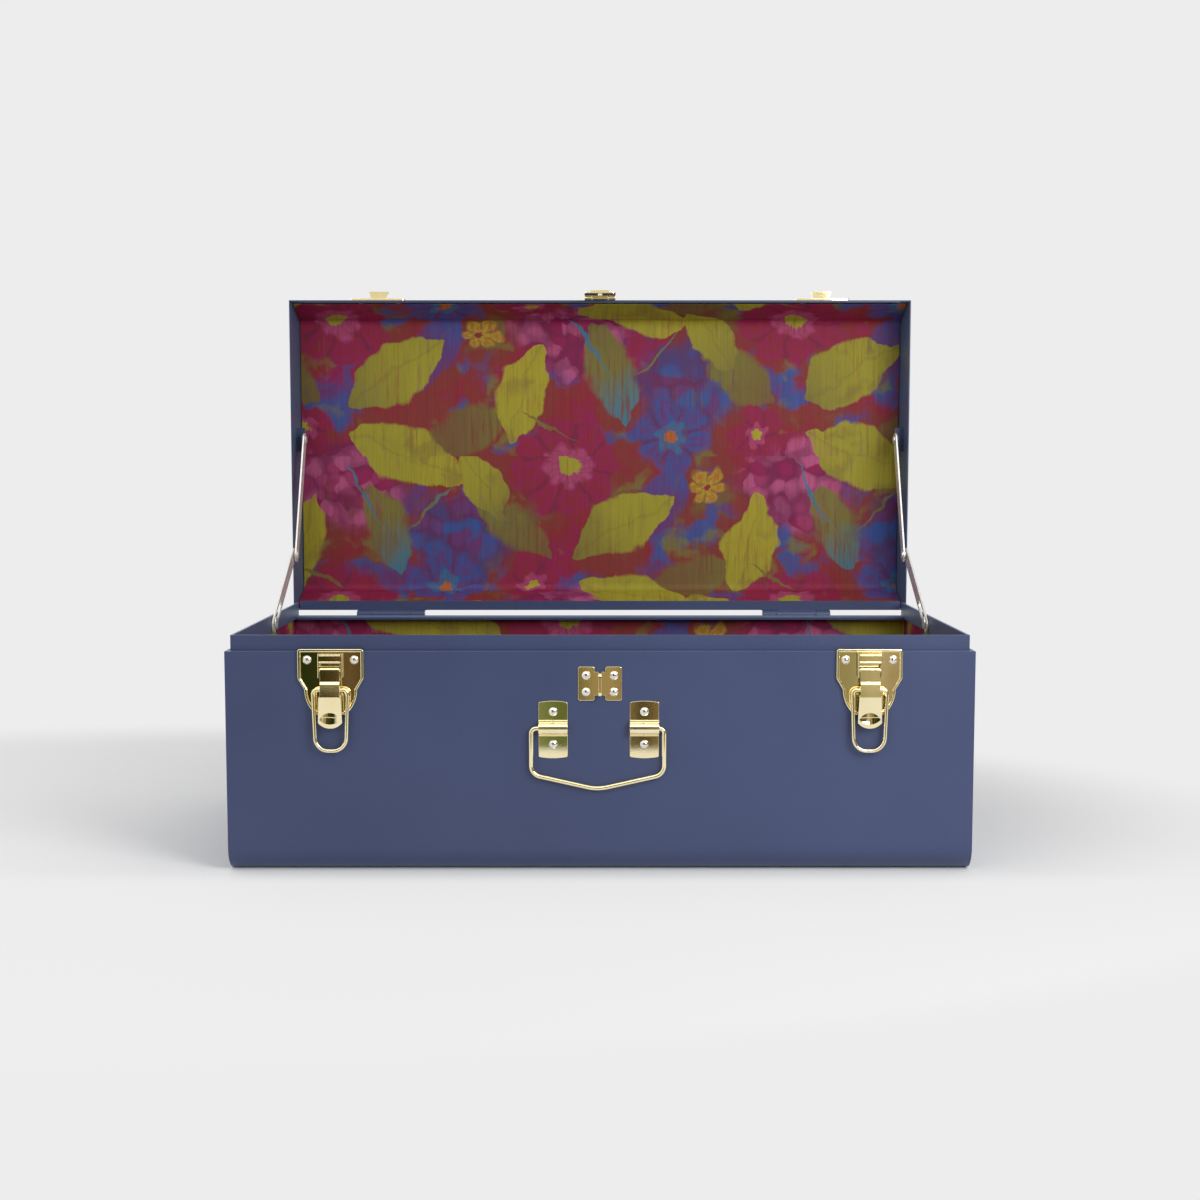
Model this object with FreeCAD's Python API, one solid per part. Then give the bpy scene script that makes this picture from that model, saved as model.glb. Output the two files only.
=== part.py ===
import FreeCAD, Part
import math
import os
from FreeCAD import Vector

# Storage trunk of folded painted sheet steel, lid standing open at a right angle
# Origin: middle of the underside. X right, Y to the back, Z up, millimetres

# Overall sizes
LENGTH = 600.0
DEPTH = 300.0
BODY_HEIGHT = 179.0
LID_HEIGHT = 52.0
SHEET = 1.0
BODY_CORNER = 20.0
LID_CORNER = 24.0
RIM_GAP = 0.5
OVERRUN = 5.0
FIT_GAP = 0.3
RUN_GAP = 0.05
HALF = 0.5

# Body shell, its neck and its back rail
SEAM_FLANGE = 9.0
NECK_INSET = 4.1
NECK_HEM = 2.0
NECK_HEIGHT = 12.7
NECK_SKIRT = 2.0
NECK_END_GAP = 2.0
RAIL_REACH = 21.0
RAIL_LIP = 2.2
RAIL_LEG = 14.0

# Linings of printed paper on card
LINER = 1.0
LINER_TOP_GAP = 0.1
LID_LINER_START = 13.0
LID_LINER_STEP = 0.3
LID_LINER_SLOPE = 13.0
LID_LINER_SLOPE_END = 41.0
LID_PANEL_GAP = 1.5

# Lid rim
LID_HEM = 0.8
LID_HEM_DEPTH = 6.0
LID_RETURN = 8.9

# Hinges
HINGE_SET_OUT = 4.5
HINGE_FROM_LEFT = 95.3
HINGE_FROM_RIGHT = 107.8
HINGE_WIDTH = 66.0
HINGE_MIDDLE = 37.6
HINGE_KNUCKLE_R = 4.2
HINGE_PIN_R = 2.0
HINGE_PLATE = 1.2
HINGE_LEAF = 26.0
HINGE_SIDE_GAP = 0.6
HINGE_CORNER = 4.0
HINGE_RIVET_INSET = 11.0
HINGE_RIVET_DROP = 15.0

# Rivets
RIVET_HEAD_R = 3.5
RIVET_HEAD_H = 1.6
RIVET_SHANK_R = 1.5
RIVET_TAIL_R = 2.4
RIVET_TAIL_H = 0.8
PIVOT_HEAD_R = 3.6
PIVOT_HEAD_H = 1.0

# Draw latches; heights of the fittings count up from the body's shoulder
LATCH_FROM_END = 85.0
LATCH_WIDTH = 52.8
LATCH_TOP = 2.2
LATCH_SHOULDER_Z = -21.5
LATCH_WAIST = 42.4
LATCH_WAIST_Z = -30.4
LATCH_HIP = 38.4
LATCH_HIP_Z = -40.5
LATCH_FOOT = 24.0
LATCH_FOOT_Z = -50.6
LATCH_CORNER = 2.2
LATCH_PLATE = 1.0
LATCH_BORDER = 2.4
LATCH_BORDER_H = 1.9
LATCH_ROUND = 0.8
LATCH_RIVET_X = 18.85
LATCH_RIVET_Z = -6.6
CHANNEL_WIDTH = 19.5
CHANNEL_OUT = 6.4
CHANNEL_TOP = -1.2
CHANNEL_END_Z = -9.2
CHANNEL_WALL = 1.2
EAR_END_Z = -20.5
LEVER_PIN_Z = -14.6
LEVER_PIN_OUT = 4.6
LEVER_PIN_R = 1.2
LEVER_KNUCKLE_R = 2.6
LEVER_NECK = 15.6
LEVER_WIDTH = 17.6
LEVER_TIP_WIDTH = 19.2
LEVER_WALL = 1.4
LEVER_BEND_Z = -25.6
LEVER_BEND_OUT = 8.4
LEVER_DIP_Z = -23.4
LEVER_FACE_Z = -35.6
LEVER_FACE_OUT = 9.4
LEVER_LOW_Z = -53.0
LEVER_CORNER_Z = -56.4
LEVER_TIP_Z = -61.0
LEVER_TIP_OUT = 7.7
LEVER_LIP_Z = -57.6
LEVER_HEEL_OUT = 2.7
LEVER_HEEL_Z = -32.2
LEVER_THUMB_R = 9.3
LEVER_THUMB_BALL_R = 32.0
HOOP_PIVOT_Z = -30.2
HOOP_PIVOT_OUT = 5.5
HOOP_WIRE_R = 1.65
HOOP_WIDTH = 31.0
HOOP_FOOT_WIDTH = 27.6
HOOP_END_Z = -81.0
HOOP_CORNER = 3.6
HOOP_FOOT_ROUND = 10.6

# Catches on the lid for the latch hoops
CATCH_WIDTH = 52.0
CATCH_START = 2.7
CATCH_HEIGHT = 38.0
CATCH_PLATE = 1.0
CATCH_BORDER = 2.2
CATCH_BORDER_H = 1.2
PLATE_ROUND = 0.4
CATCH_HOOK_FOOT = 13.0
CATCH_HOOK_WIDTH = 18.0
CATCH_HOOK_WALL = 1.8
CATCH_HOOK_LIP = 5.0
CATCH_RIVET_X = 18.5
CATCH_RIVET_UP = 20.0

# Staple for the padlock
STAPLE_WIDTH = 35.2
STAPLE_LOW = -39.5
STAPLE_TOP = -12.1
STAPLE_WEB = 8.4
STAPLE_WEB_INSET = 4.2
STAPLE_PLATE = 1.0
STAPLE_CORNER = 1.8
STAPLE_RIVET_X = 11.1
STAPLE_RIVET_SPACING = 13.2
FIN_THICK = 2.4
FIN_REACH = 11.5
FIN_HEIGHT = 19.6
FIN_CORNER = 4.0
EYE_R = 3.5
EYE_OUT = 6.9

# Hasp on the lid
HASP_WIDTH = 29.6
HASP_PLATE = 1.1
HASP_PLATE_HEIGHT = 24.0
HASP_AXIS_UP = 3.2
HASP_AXIS_OUT = 2.1
HASP_KNUCKLE_R = 1.9
HASP_PIN_R = 0.9
HASP_MIDDLE = 15.0
HASP_END_Z = -40.2
HASP_CORNER = 3.0
HASP_SLOT_WIDTH = 4.0
HASP_SLOT_GAP = 0.7
HASP_LIP_WIDTH = 18.0
HASP_LIP_OUT = 1.7
HASP_RIVET_X = 9.4
HASP_RIVET_UP = 18.0

# Carrying handle
HANDLE_MID_X = -1.9
BRACKET_MID_X = -1.0
BRACKET_SPAN = 73.1
BRACKET_WIDTH = 23.4
BRACKET_LOW = -85.0
BRACKET_TOP = -40.8
BRACKET_CROWN = 1.2
BRACKET_PLATE = 1.0
BRACKET_CORNER = 1.2
BARREL_R = 5.2
BARREL_OUT = 2.3
BARREL_RIB_R = 0.9
HANDLE_AXIS_Z = -61.6
HANDLE_WIRE_R = 1.95
HANDLE_OUTER = 110.5
HANDLE_BEND_Z = -99.0
HANDLE_LOW_Z = -111.0
HANDLE_TOP_ROUND = 4.2
HANDLE_SIDE_ROUND = 9.0
HANDLE_LOW_ROUND = 38.0
HANDLE_GRIP = 19.0
BRACKET_RIVET_RISE = 13.2

# Folding lid stays
STAY_WIDTH = 13.0
STAY_PLATE = 1.5
STAY_SKIN_GAP = 0.6
STAY_LAP_GAP = 0.3
STAY_LID_OUT = 19.0
STAY_LID_UP = 170.75
STAY_ELBOW_IN = 33.0
STAY_ELBOW_UP = 60.75
STAY_STUD_IN = 130.0
STAY_STUD_UP = 6.0
STAY_RIVET_R = 1.6
STAY_SLOT_WIDTH = 7.2
STAY_SLOT_BACK = 2.4
STAY_SLOT_RUN = 29.0
STAY_STUD_HEAD_R = 5.4
STAY_SLOT_END = 2.2
BRACKET_EAR_R = 6.0
BRACKET_LENGTH = 23.0
BRACKET_SHEET = 1.0
BRACKET_FOOT = 12.0
BRACKET_RISE = 9.5

# Places worked out from the sizes above
FRONT_Y = -DEPTH * HALF
BACK_Y = DEPTH * HALF
END_X = LENGTH * HALF
HINGE_Y = BACK_Y + HINGE_SET_OUT
HINGE_Z = BODY_HEIGHT + RIM_GAP * HALF
RIM_Z = BODY_HEIGHT + RIM_GAP
LID_TOP = RIM_Z + LID_HEIGHT
WALL_TOP = BODY_HEIGHT - SHEET
NECK_IN = NECK_INSET + NECK_HEM
LINER_IN = SHEET + SHEET
LATCH_X = END_X - LATCH_FROM_END
X_AXIS = Vector(1, 0, 0)
Y_AXIS = Vector(0, 1, 0)
SIDES = (("left", -1), ("right", 1))
SHAPES = {}


def box(x0, x1, y0, y1, z0, z1):
    return Part.makeBox(x1 - x0, y1 - y0, z1 - z0, Vector(x0, y0, z0))


def rod_x(r, x0, x1, y, z):
    return Part.makeCylinder(r, x1 - x0, Vector(x0, y, z), X_AXIS)


def fuse(first, *others):
    return first.multiFuse(list(others)).removeSplitter()


def cut(first, *others):
    return first.cut(list(others))


def prism(points, direction):
    """Solid swept straight from a closed outline of straight sides."""
    return Part.Face(Part.makePolygon(points + points[:1])).extrude(direction)


def mirrored_x(shape):
    return shape.mirror(Vector(0, 0, 0), X_AXIS)


def opened(shape):
    """A lid piece, drawn shut, turned back to the open lid's place."""
    turned = shape.copy()
    turned.rotate(Vector(0, HINGE_Y, HINGE_Z), X_AXIS, -90)
    return turned


def bent_wire(points, radii, r):
    """Round wire in straight runs through points, bent to the given radii at the inner ones."""
    pieces = []
    start = points[0]
    for before, here, after, radius in zip(points, points[1:], points[2:], radii):
        way_in = (here - before).normalize()
        way_out = (after - here).normalize()
        half_turn = way_in.getAngle(way_out) * HALF
        first = here - way_in * (radius * math.tan(half_turn))
        middle = here + (way_out - way_in).normalize() * (radius / math.cos(half_turn))
        pieces.append(Part.makeCylinder(r, (first - start).Length, start, way_in))
        disc = Part.Face(Part.Wire(Part.makeCircle(r, first, way_in)))
        pieces.append(disc.revolve(middle, way_in.cross(way_out), math.degrees(half_turn + half_turn)))
        start = here + way_out * (radius * math.tan(half_turn))
    way = points[-1] - start
    pieces.append(Part.makeCylinder(r, way.Length, start, way))
    return fuse(*pieces)


def raised(shape):
    """A fitting drawn with the body's shoulder at height zero, put in its place."""
    piece = shape.copy()
    piece.translate(Vector(0, 0, BODY_HEIGHT))
    return piece


def rounded_plate(x0, x1, z0, z1, out0, out1, corner):
    """Upright plate on the front face with rounded corners; out counts away from the face."""
    plate = box(x0, x1, FRONT_Y - out1, FRONT_Y - out0, z0, z1)
    upright = [e for e in plate.Edges if abs(e.tangentAt(e.FirstParameter).y) > HALF]
    return plate.makeFillet(corner, upright)


def eased(shape, out, r):
    """The piece with the edges of its front side rounded; out is that side's distance from the face."""
    level = FRONT_Y - out
    front = [e for e in shape.Edges if max(abs(v.Y - level) for v in e.Vertexes) < RUN_GAP * RUN_GAP]
    return shape.makeFillet(r, front)


def rivet(x, z, plate):
    """Dome-headed rivet through a plate and the front wall, its tail spread inside."""
    head = FRONT_Y - plate
    crown = head - RIVET_HEAD_H
    inner = FRONT_Y + SHEET
    dome_r = (RIVET_HEAD_R * RIVET_HEAD_R + RIVET_HEAD_H * RIVET_HEAD_H) / (RIVET_HEAD_H + RIVET_HEAD_H)
    turn = math.asin(RIVET_HEAD_R / dome_r) * HALF
    shoulder = Vector(dome_r * math.sin(turn), crown + dome_r * (1 - math.cos(turn)), 0)
    tail_end = inner + RIVET_TAIL_H
    line = [Vector(0, crown, 0), Vector(0, tail_end, 0), Vector(RIVET_TAIL_R, tail_end, 0),
            Vector(RIVET_TAIL_R, inner, 0), Vector(RIVET_SHANK_R, inner, 0), Vector(RIVET_SHANK_R, head, 0),
            Vector(RIVET_HEAD_R, head, 0)]
    edges = [Part.LineSegment(p, q) for p, q in zip(line, line[1:])]
    edges.append(Part.Arc(line[-1], shoulder, line[0]))
    solid = Part.Face(Part.Wire([edge.toShape() for edge in edges])).revolve(Vector(0, 0, 0), Y_AXIS, 360)
    solid.translate(Vector(x, 0, z))
    return solid


def rivet_hole(x, z):
    start = Vector(x, FRONT_Y - OVERRUN, z)
    return Part.makeCylinder(RIVET_SHANK_R, OVERRUN + SHEET + OVERRUN, start, Y_AXIS)


def back_hole(x, z):
    start = Vector(x, BACK_Y - OVERRUN, z)
    return Part.makeCylinder(RIVET_SHANK_R, OVERRUN + OVERRUN, start, Y_AXIS)


def back_rivet(x, z):
    """Flush painted rivet through a hinge leaf and the back wall."""
    head_end = Vector(x, BACK_Y + HINGE_PLATE, z)
    head = Part.makeCone(RIVET_HEAD_R, RIVET_TAIL_R, RIVET_TAIL_H, head_end, Y_AXIS)
    shank = Part.makeCylinder(RIVET_SHANK_R, HINGE_PLATE + SHEET, head_end, -Y_AXIS)
    tail = Part.makeCylinder(RIVET_TAIL_R, RIVET_TAIL_H, Vector(x, BACK_Y - SHEET, z), -Y_AXIS)
    return fuse(head, shank, tail)


# Where the rivets go, as (x, z) with the lid shut
LATCH_RIVETS = {side: [(s * LATCH_X + k * LATCH_RIVET_X, BODY_HEIGHT + LATCH_RIVET_Z) for k in (-1, 1)]
                for side, s in SIDES}
CATCH_RIVETS = {side: [(s * LATCH_X + k * CATCH_RIVET_X, RIM_Z + CATCH_RIVET_UP) for k in (-1, 1)]
                for side, s in SIDES}
STAPLE_MID_Z = BODY_HEIGHT + (STAPLE_LOW + STAPLE_TOP) * HALF
STAPLE_RIVETS = [(kx * STAPLE_RIVET_X, STAPLE_MID_Z + kz * STAPLE_RIVET_SPACING * HALF)
                 for kx in (-1, 1) for kz in (-1, 1)]
HASP_RIVETS = [(k * HASP_RIVET_X, RIM_Z + HASP_RIVET_UP) for k in (-1, 1)]
BRACKET_X = {side: BRACKET_MID_X + s * BRACKET_SPAN * HALF for side, s in SIDES}
BARREL_Z = BODY_HEIGHT + HANDLE_AXIS_Z
HANDLE_RIVETS = {side: [(BRACKET_X[side], BARREL_Z + k * BRACKET_RIVET_RISE) for k in (-1, 1)]
                 for side, s in SIDES}
HINGE_X = {"left": HINGE_FROM_LEFT - END_X, "right": END_X - HINGE_FROM_RIGHT}
HINGE_RIVET_X = {side: [x + k * (HINGE_WIDTH * HALF - HINGE_RIVET_INSET) for k in (-1, 1)]
                 for side, x in HINGE_X.items()}


def profile(inset, corner, low, high, round_low):
    """Upright outline across the trunk with two rounded corners, as a face at x = 0."""
    y0 = FRONT_Y + inset
    y1 = BACK_Y - inset
    r = corner - inset
    k = r * math.sqrt(HALF)
    level, edge = (low, high) if round_low else (high, low)
    up = 1 if round_low else -1
    turn = level + up * r
    front = Part.Arc(Vector(0, y0, turn), Vector(0, y0 + r - k, turn - up * k), Vector(0, y0 + r, level))
    back = Part.Arc(Vector(0, y1 - r, level), Vector(0, y1 - r + k, turn - up * k), Vector(0, y1, turn))
    edges = [
        Part.LineSegment(Vector(0, y0, edge), Vector(0, y0, turn)),
        front,
        Part.LineSegment(Vector(0, y0 + r, level), Vector(0, y1 - r, level)),
        back,
        Part.LineSegment(Vector(0, y1, turn), Vector(0, y1, edge)),
        Part.LineSegment(Vector(0, y1, edge), Vector(0, y0, edge)),
    ]
    return Part.Face(Part.Wire([edge_line.toShape() for edge_line in edges]))


def slab(face, x0, x1):
    piece = face.extrude(Vector(x1 - x0, 0, 0))
    piece.translate(Vector(x0, 0, 0))
    return piece


def body_profile(inset, top):
    return profile(inset, BODY_CORNER, inset, top, True)


def lid_profile(inset, low):
    return profile(inset, LID_CORNER, low, LID_TOP - inset, False)


def body_shell():
    inner_x = END_X - SHEET
    outer = slab(body_profile(0, WALL_TOP), -inner_x, inner_x)
    wrap = cut(outer, slab(body_profile(SHEET, WALL_TOP + OVERRUN), -inner_x - OVERRUN, inner_x + OVERRUN))
    front_holes = STAPLE_RIVETS + LATCH_RIVETS["left"] + LATCH_RIVETS["right"]
    front_holes = front_holes + HANDLE_RIVETS["left"] + HANDLE_RIVETS["right"]
    holes = [rivet_hole(x, z) for x, z in front_holes]
    for pair in HINGE_RIVET_X.values():
        holes = holes + [back_hole(x, BODY_HEIGHT - HINGE_RIVET_DROP) for x in pair]
    SHAPES["body_wrap"] = cut(wrap, *holes)
    flange_x = inner_x - SEAM_FLANGE
    plate = slab(body_profile(0, WALL_TOP), inner_x, END_X)
    rim = slab(body_profile(SHEET, WALL_TOP), flange_x, inner_x)
    hollow = slab(body_profile(LINER_IN, WALL_TOP + OVERRUN), flange_x - OVERRUN, inner_x)
    leg_end = BODY_HEIGHT - NECK_SKIRT - RAIL_LEG
    skirt_clear = box(flange_x - OVERRUN, inner_x, FRONT_Y, BACK_Y, leg_end, BODY_HEIGHT)
    end = fuse(plate, cut(rim, hollow, skirt_clear))
    SHAPES["body_end_right"] = end
    SHAPES["body_end_left"] = mirrored_x(end)


def neck_and_rail():
    neck_back = BACK_Y - NECK_END_GAP
    skirt = BODY_HEIGHT - NECK_SKIRT
    lip_x = END_X - NECK_IN
    inner = box(-lip_x, lip_x, FRONT_Y + NECK_IN, BACK_Y + OVERRUN, skirt - OVERRUN, BODY_HEIGHT + LENGTH)
    shoulder = box(-END_X, END_X, FRONT_Y, BACK_Y, WALL_TOP, BODY_HEIGHT)
    neck_x = END_X - NECK_INSET
    wall = box(-neck_x, neck_x, FRONT_Y + NECK_INSET, neck_back, skirt, BODY_HEIGHT + NECK_HEIGHT)
    SHAPES["neck_frame"] = fuse(cut(shoulder, inner), cut(wall, inner))
    rail_y = BACK_Y - RAIL_REACH
    shelf = box(-lip_x, lip_x, rail_y, BACK_Y, WALL_TOP, BODY_HEIGHT)
    lip = box(-lip_x, lip_x, rail_y, rail_y + SHEET, BODY_HEIGHT - RAIL_LIP, WALL_TOP)
    leg = box(-lip_x, lip_x, BACK_Y - SHEET - SHEET, BACK_Y - SHEET, WALL_TOP - RAIL_LEG, WALL_TOP)
    rail = fuse(shelf, lip, leg)
    tails = []
    for pair in HINGE_RIVET_X.values():
        for x in pair:
            start = Vector(x, BACK_Y - SHEET, BODY_HEIGHT - HINGE_RIVET_DROP)
            tails.append(Part.makeCylinder(RIVET_HEAD_R, OVERRUN, start, -Y_AXIS))
    SHAPES["back_rail"] = cut(rail, *tails)


def body_lining():
    top = BODY_HEIGHT - NECK_SKIRT - LINER_TOP_GAP
    end_in = END_X - SHEET - SHEET
    wrap_x = end_in - LINER
    outer = slab(body_profile(LINER_IN, top), -wrap_x, wrap_x)
    inner = slab(body_profile(LINER_IN + LINER, top + OVERRUN), -end_in, end_in)
    SHAPES["body_lining_wrap"] = cut(outer, inner)
    side = slab(body_profile(LINER_IN, top), wrap_x, end_in)
    SHAPES["body_lining_right"] = side
    SHAPES["body_lining_left"] = mirrored_x(side)


def lid_shell():
    inner_x = END_X - SHEET
    outer = slab(lid_profile(0, RIM_Z), -inner_x, inner_x)
    hollow = slab(lid_profile(SHEET, RIM_Z - OVERRUN), -inner_x - OVERRUN, inner_x + OVERRUN)
    wrap = cut(outer, hollow)
    hem_x = inner_x - SEAM_FLANGE
    hem_y = FRONT_Y + SHEET
    hem = box(-hem_x, hem_x, hem_y, hem_y + LID_HEM, RIM_Z, RIM_Z + LID_HEM_DEPTH)
    return_x = END_X - NECK_IN - FIT_GAP
    back_return = box(-return_x, return_x, BACK_Y - LID_RETURN, BACK_Y - SHEET, RIM_Z, RIM_Z + SHEET)
    holes = [rivet_hole(x, z) for x, z in HASP_RIVETS + CATCH_RIVETS["left"] + CATCH_RIVETS["right"]]
    for pair in HINGE_RIVET_X.values():
        holes = holes + [back_hole(x, RIM_Z + HINGE_RIVET_DROP) for x in pair]
    SHAPES["lid_wrap"] = opened(cut(fuse(wrap, hem, back_return), *holes))
    flange_x = inner_x - SEAM_FLANGE
    plate = slab(lid_profile(0, RIM_Z), inner_x, END_X)
    rim = slab(lid_profile(SHEET, RIM_Z), flange_x, inner_x)
    inside = slab(lid_profile(LINER_IN, RIM_Z - OVERRUN), flange_x - OVERRUN, inner_x)
    neck_room = box(flange_x - OVERRUN, inner_x, FRONT_Y, BACK_Y, RIM_Z, BODY_HEIGHT + NECK_HEIGHT + SHEET)
    end = fuse(plate, cut(rim, inside, neck_room))
    SHAPES["lid_end_right"] = opened(end)
    SHAPES["lid_end_left"] = opened(mirrored_x(end))


def lid_lining_edge(offset):
    """Half outline of the lid lining from the rim to the panel, offset towards the metal."""
    start_y = FRONT_Y + LINER_IN + LINER + LID_LINER_STEP - offset
    slope_y = FRONT_Y + LINER_IN + LID_LINER_SLOPE - offset
    panel_z = LID_TOP - SHEET - LID_PANEL_GAP - LINER + offset
    slope_z = RIM_Z + LID_LINER_SLOPE_END
    start_z = RIM_Z + LID_LINER_START
    return start_y, start_z, slope_y, slope_z, panel_z


def lid_lining_face(offset, drop):
    """Outline of the space under the lining, its open edge lowered by drop."""
    y0, z0, y1, z1, z2 = lid_lining_edge(offset)
    reach = z2 - z1
    mid = reach * (1 - math.sqrt(HALF))
    front = [Vector(0, y0, z0), Vector(0, y1, z1)]
    if drop:
        front = [Vector(0, y0, z0 - drop)] + front
    back = [Vector(0, -p.y, p.z) for p in reversed(front)]
    edges = [Part.LineSegment(a, b) for a, b in zip(front, front[1:])]
    edges.append(Part.Arc(front[-1], Vector(0, y1 + mid, z2 - mid), Vector(0, y1 + reach, z2)))
    edges.append(Part.LineSegment(Vector(0, y1 + reach, z2), Vector(0, -y1 - reach, z2)))
    edges.append(Part.Arc(Vector(0, -y1 - reach, z2), Vector(0, -y1 - mid, z2 - mid), back[0]))
    edges = edges + [Part.LineSegment(a, b) for a, b in zip(back, back[1:])]
    edges.append(Part.LineSegment(back[-1], front[0]))
    return Part.Face(Part.Wire([edge.toShape() for edge in edges]))


def lid_lining():
    """One sheet that runs down the front wall, over the panel and down the back wall."""
    x = END_X - SHEET - SHEET - LINER_TOP_GAP
    outer = slab(lid_lining_face(LINER, 0), -x, x)
    inner = slab(lid_lining_face(0, OVERRUN), -x - OVERRUN, x + OVERRUN)
    SHAPES["lid_lining"] = opened(cut(outer, inner))


def hinge_leaf(x, on_body):
    """Flat leaf on the back wall with its own rolled knuckles round the pin."""
    x0 = x - HINGE_WIDTH * HALF
    x1 = x + HINGE_WIDTH * HALF
    m0 = x - HINGE_MIDDLE * HALF
    m1 = x + HINGE_MIDDLE * HALF
    up = -1 if on_body else 1
    near = HINGE_Z + up * (HINGE_KNUCKLE_R + FIT_GAP)
    far = HINGE_Z + up * HINGE_LEAF
    plate = box(x0, x1, BACK_Y, BACK_Y + HINGE_PLATE, min(near, far), max(near, far))
    corners = [e for e in plate.Edges if abs(e.tangentAt(e.FirstParameter).y) > HALF
               and abs(e.CenterOfMass.z - far) < FIT_GAP]
    plate = plate.makeFillet(HINGE_CORNER, corners)
    spans = [(x0, m0 - HINGE_SIDE_GAP), (m1 + HINGE_SIDE_GAP, x1)] if on_body else [(m0, m1)]
    pieces = []
    for a, b in spans:
        low = min(near, HINGE_Z)
        high = max(near, HINGE_Z)
        pieces.append(box(a, b, BACK_Y, BACK_Y + HINGE_PLATE, low, high))
        pieces.append(rod_x(HINGE_KNUCKLE_R, a, b, HINGE_Y, HINGE_Z))
    leaf = fuse(plate, *pieces)
    bore = rod_x(HINGE_PIN_R + RUN_GAP, x0 - OVERRUN, x1 + OVERRUN, HINGE_Y, HINGE_Z)
    return cut(leaf, bore)


def hinges():
    body_rivets = []
    lid_rivets = []
    for side, x in HINGE_X.items():
        holes = []
        for rx in HINGE_RIVET_X[side]:
            holes.append(back_hole(rx, BODY_HEIGHT - HINGE_RIVET_DROP))
            holes.append(back_hole(rx, RIM_Z + HINGE_RIVET_DROP))
            body_rivets.append(back_rivet(rx, BODY_HEIGHT - HINGE_RIVET_DROP))
            lid_rivets.append(opened(back_rivet(rx, RIM_Z + HINGE_RIVET_DROP)))
        SHAPES["hinge_leaf_body_" + side] = cut(hinge_leaf(x, True), *holes)
        SHAPES["hinge_leaf_lid_" + side] = opened(cut(hinge_leaf(x, False), *holes))
        reach = HINGE_WIDTH * HALF
        SHAPES["hinge_pin_" + side] = rod_x(HINGE_PIN_R, x - reach, x + reach, HINGE_Y, HINGE_Z)
    SHAPES["hinge_rivets_body"] = Part.makeCompound(body_rivets)
    SHAPES["hinge_rivets_lid"] = Part.makeCompound(lid_rivets)


def latch_outline(inset):
    """Latch plate outline about x = 0: square shoulders, waist and a narrow round foot."""
    half = LATCH_WIDTH * HALF - inset
    top = LATCH_TOP - inset
    waist = LATCH_WAIST * HALF - inset
    hip = LATCH_HIP * HALF - inset
    foot = LATCH_FOOT * HALF - inset
    low = LATCH_FOOT_Z + inset
    y = FRONT_Y
    right = [Vector(half, y, top), Vector(half, y, LATCH_SHOULDER_Z), Vector(waist, y, LATCH_WAIST_Z)]
    hip_point = Vector(hip, y, LATCH_HIP_Z)
    foot_point = Vector(foot, y, low)
    flip = [Vector(-p.x, y, p.z) for p in right]
    hip_flip = Vector(-hip, y, LATCH_HIP_Z)
    foot_flip = Vector(-foot, y, low)
    edges = [
        Part.LineSegment(flip[0], right[0]),
        Part.LineSegment(right[0], right[1]),
        Part.LineSegment(right[1], right[2]),
        Part.Arc(right[2], hip_point, foot_point),
        Part.LineSegment(foot_point, foot_flip),
        Part.Arc(foot_flip, hip_flip, flip[2]),
        Part.LineSegment(flip[2], flip[1]),
        Part.LineSegment(flip[1], flip[0]),
    ]
    return Part.Face(Part.Wire([edge.toShape() for edge in edges]))


def latch_plate():
    """Base plate with a raised border, a hollow channel above and two ears for the pin."""
    tall = LATCH_PLATE + LATCH_BORDER_H
    pan = latch_outline(0).extrude(Vector(0, -tall, 0))
    shoulders = [e for e in pan.Edges if abs(e.tangentAt(e.FirstParameter).y) > HALF
                 and e.CenterOfMass.z > LATCH_WAIST_Z]
    pan = pan.makeFillet(LATCH_CORNER, shoulders)
    hollow = latch_outline(LATCH_BORDER).extrude(Vector(0, -tall, 0))
    hollow.translate(Vector(0, -LATCH_PLATE, 0))
    half = CHANNEL_WIDTH * HALF
    face_y = FRONT_Y - CHANNEL_OUT
    channel = box(-half, half, face_y, FRONT_Y - LATCH_PLATE, EAR_END_Z, CHANNEL_TOP)
    room_x = half - CHANNEL_WALL
    roof_y = face_y + CHANNEL_WALL
    mouth_end = EAR_END_Z - OVERRUN
    room = box(-room_x, room_x, roof_y, FRONT_Y - LATCH_PLATE, mouth_end, CHANNEL_TOP - CHANNEL_WALL)
    mouth = box(-room_x, room_x, face_y - OVERRUN, roof_y + OVERRUN, mouth_end, CHANNEL_END_Z)
    pin = rod_x(LEVER_PIN_R, -half - OVERRUN, half + OVERRUN, FRONT_Y - LEVER_PIN_OUT, LEVER_PIN_Z)
    front_edges = [e for e in channel.Edges if abs(e.CenterOfMass.y - face_y) < FIT_GAP
                   and abs(e.tangentAt(e.FirstParameter).z) > HALF]
    channel = channel.makeFillet(CHANNEL_WALL * HALF, front_edges)
    ridges = [rod_x(CHANNEL_WALL * HALF, -room_x, room_x, face_y, at)
              for at in (CHANNEL_END_Z + CHANNEL_WALL, CHANNEL_TOP - CHANNEL_WALL)]
    channel = cut(fuse(channel, *ridges), room, mouth, pin)
    return fuse(eased(cut(pan, hollow), tall, LATCH_ROUND), channel)


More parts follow.
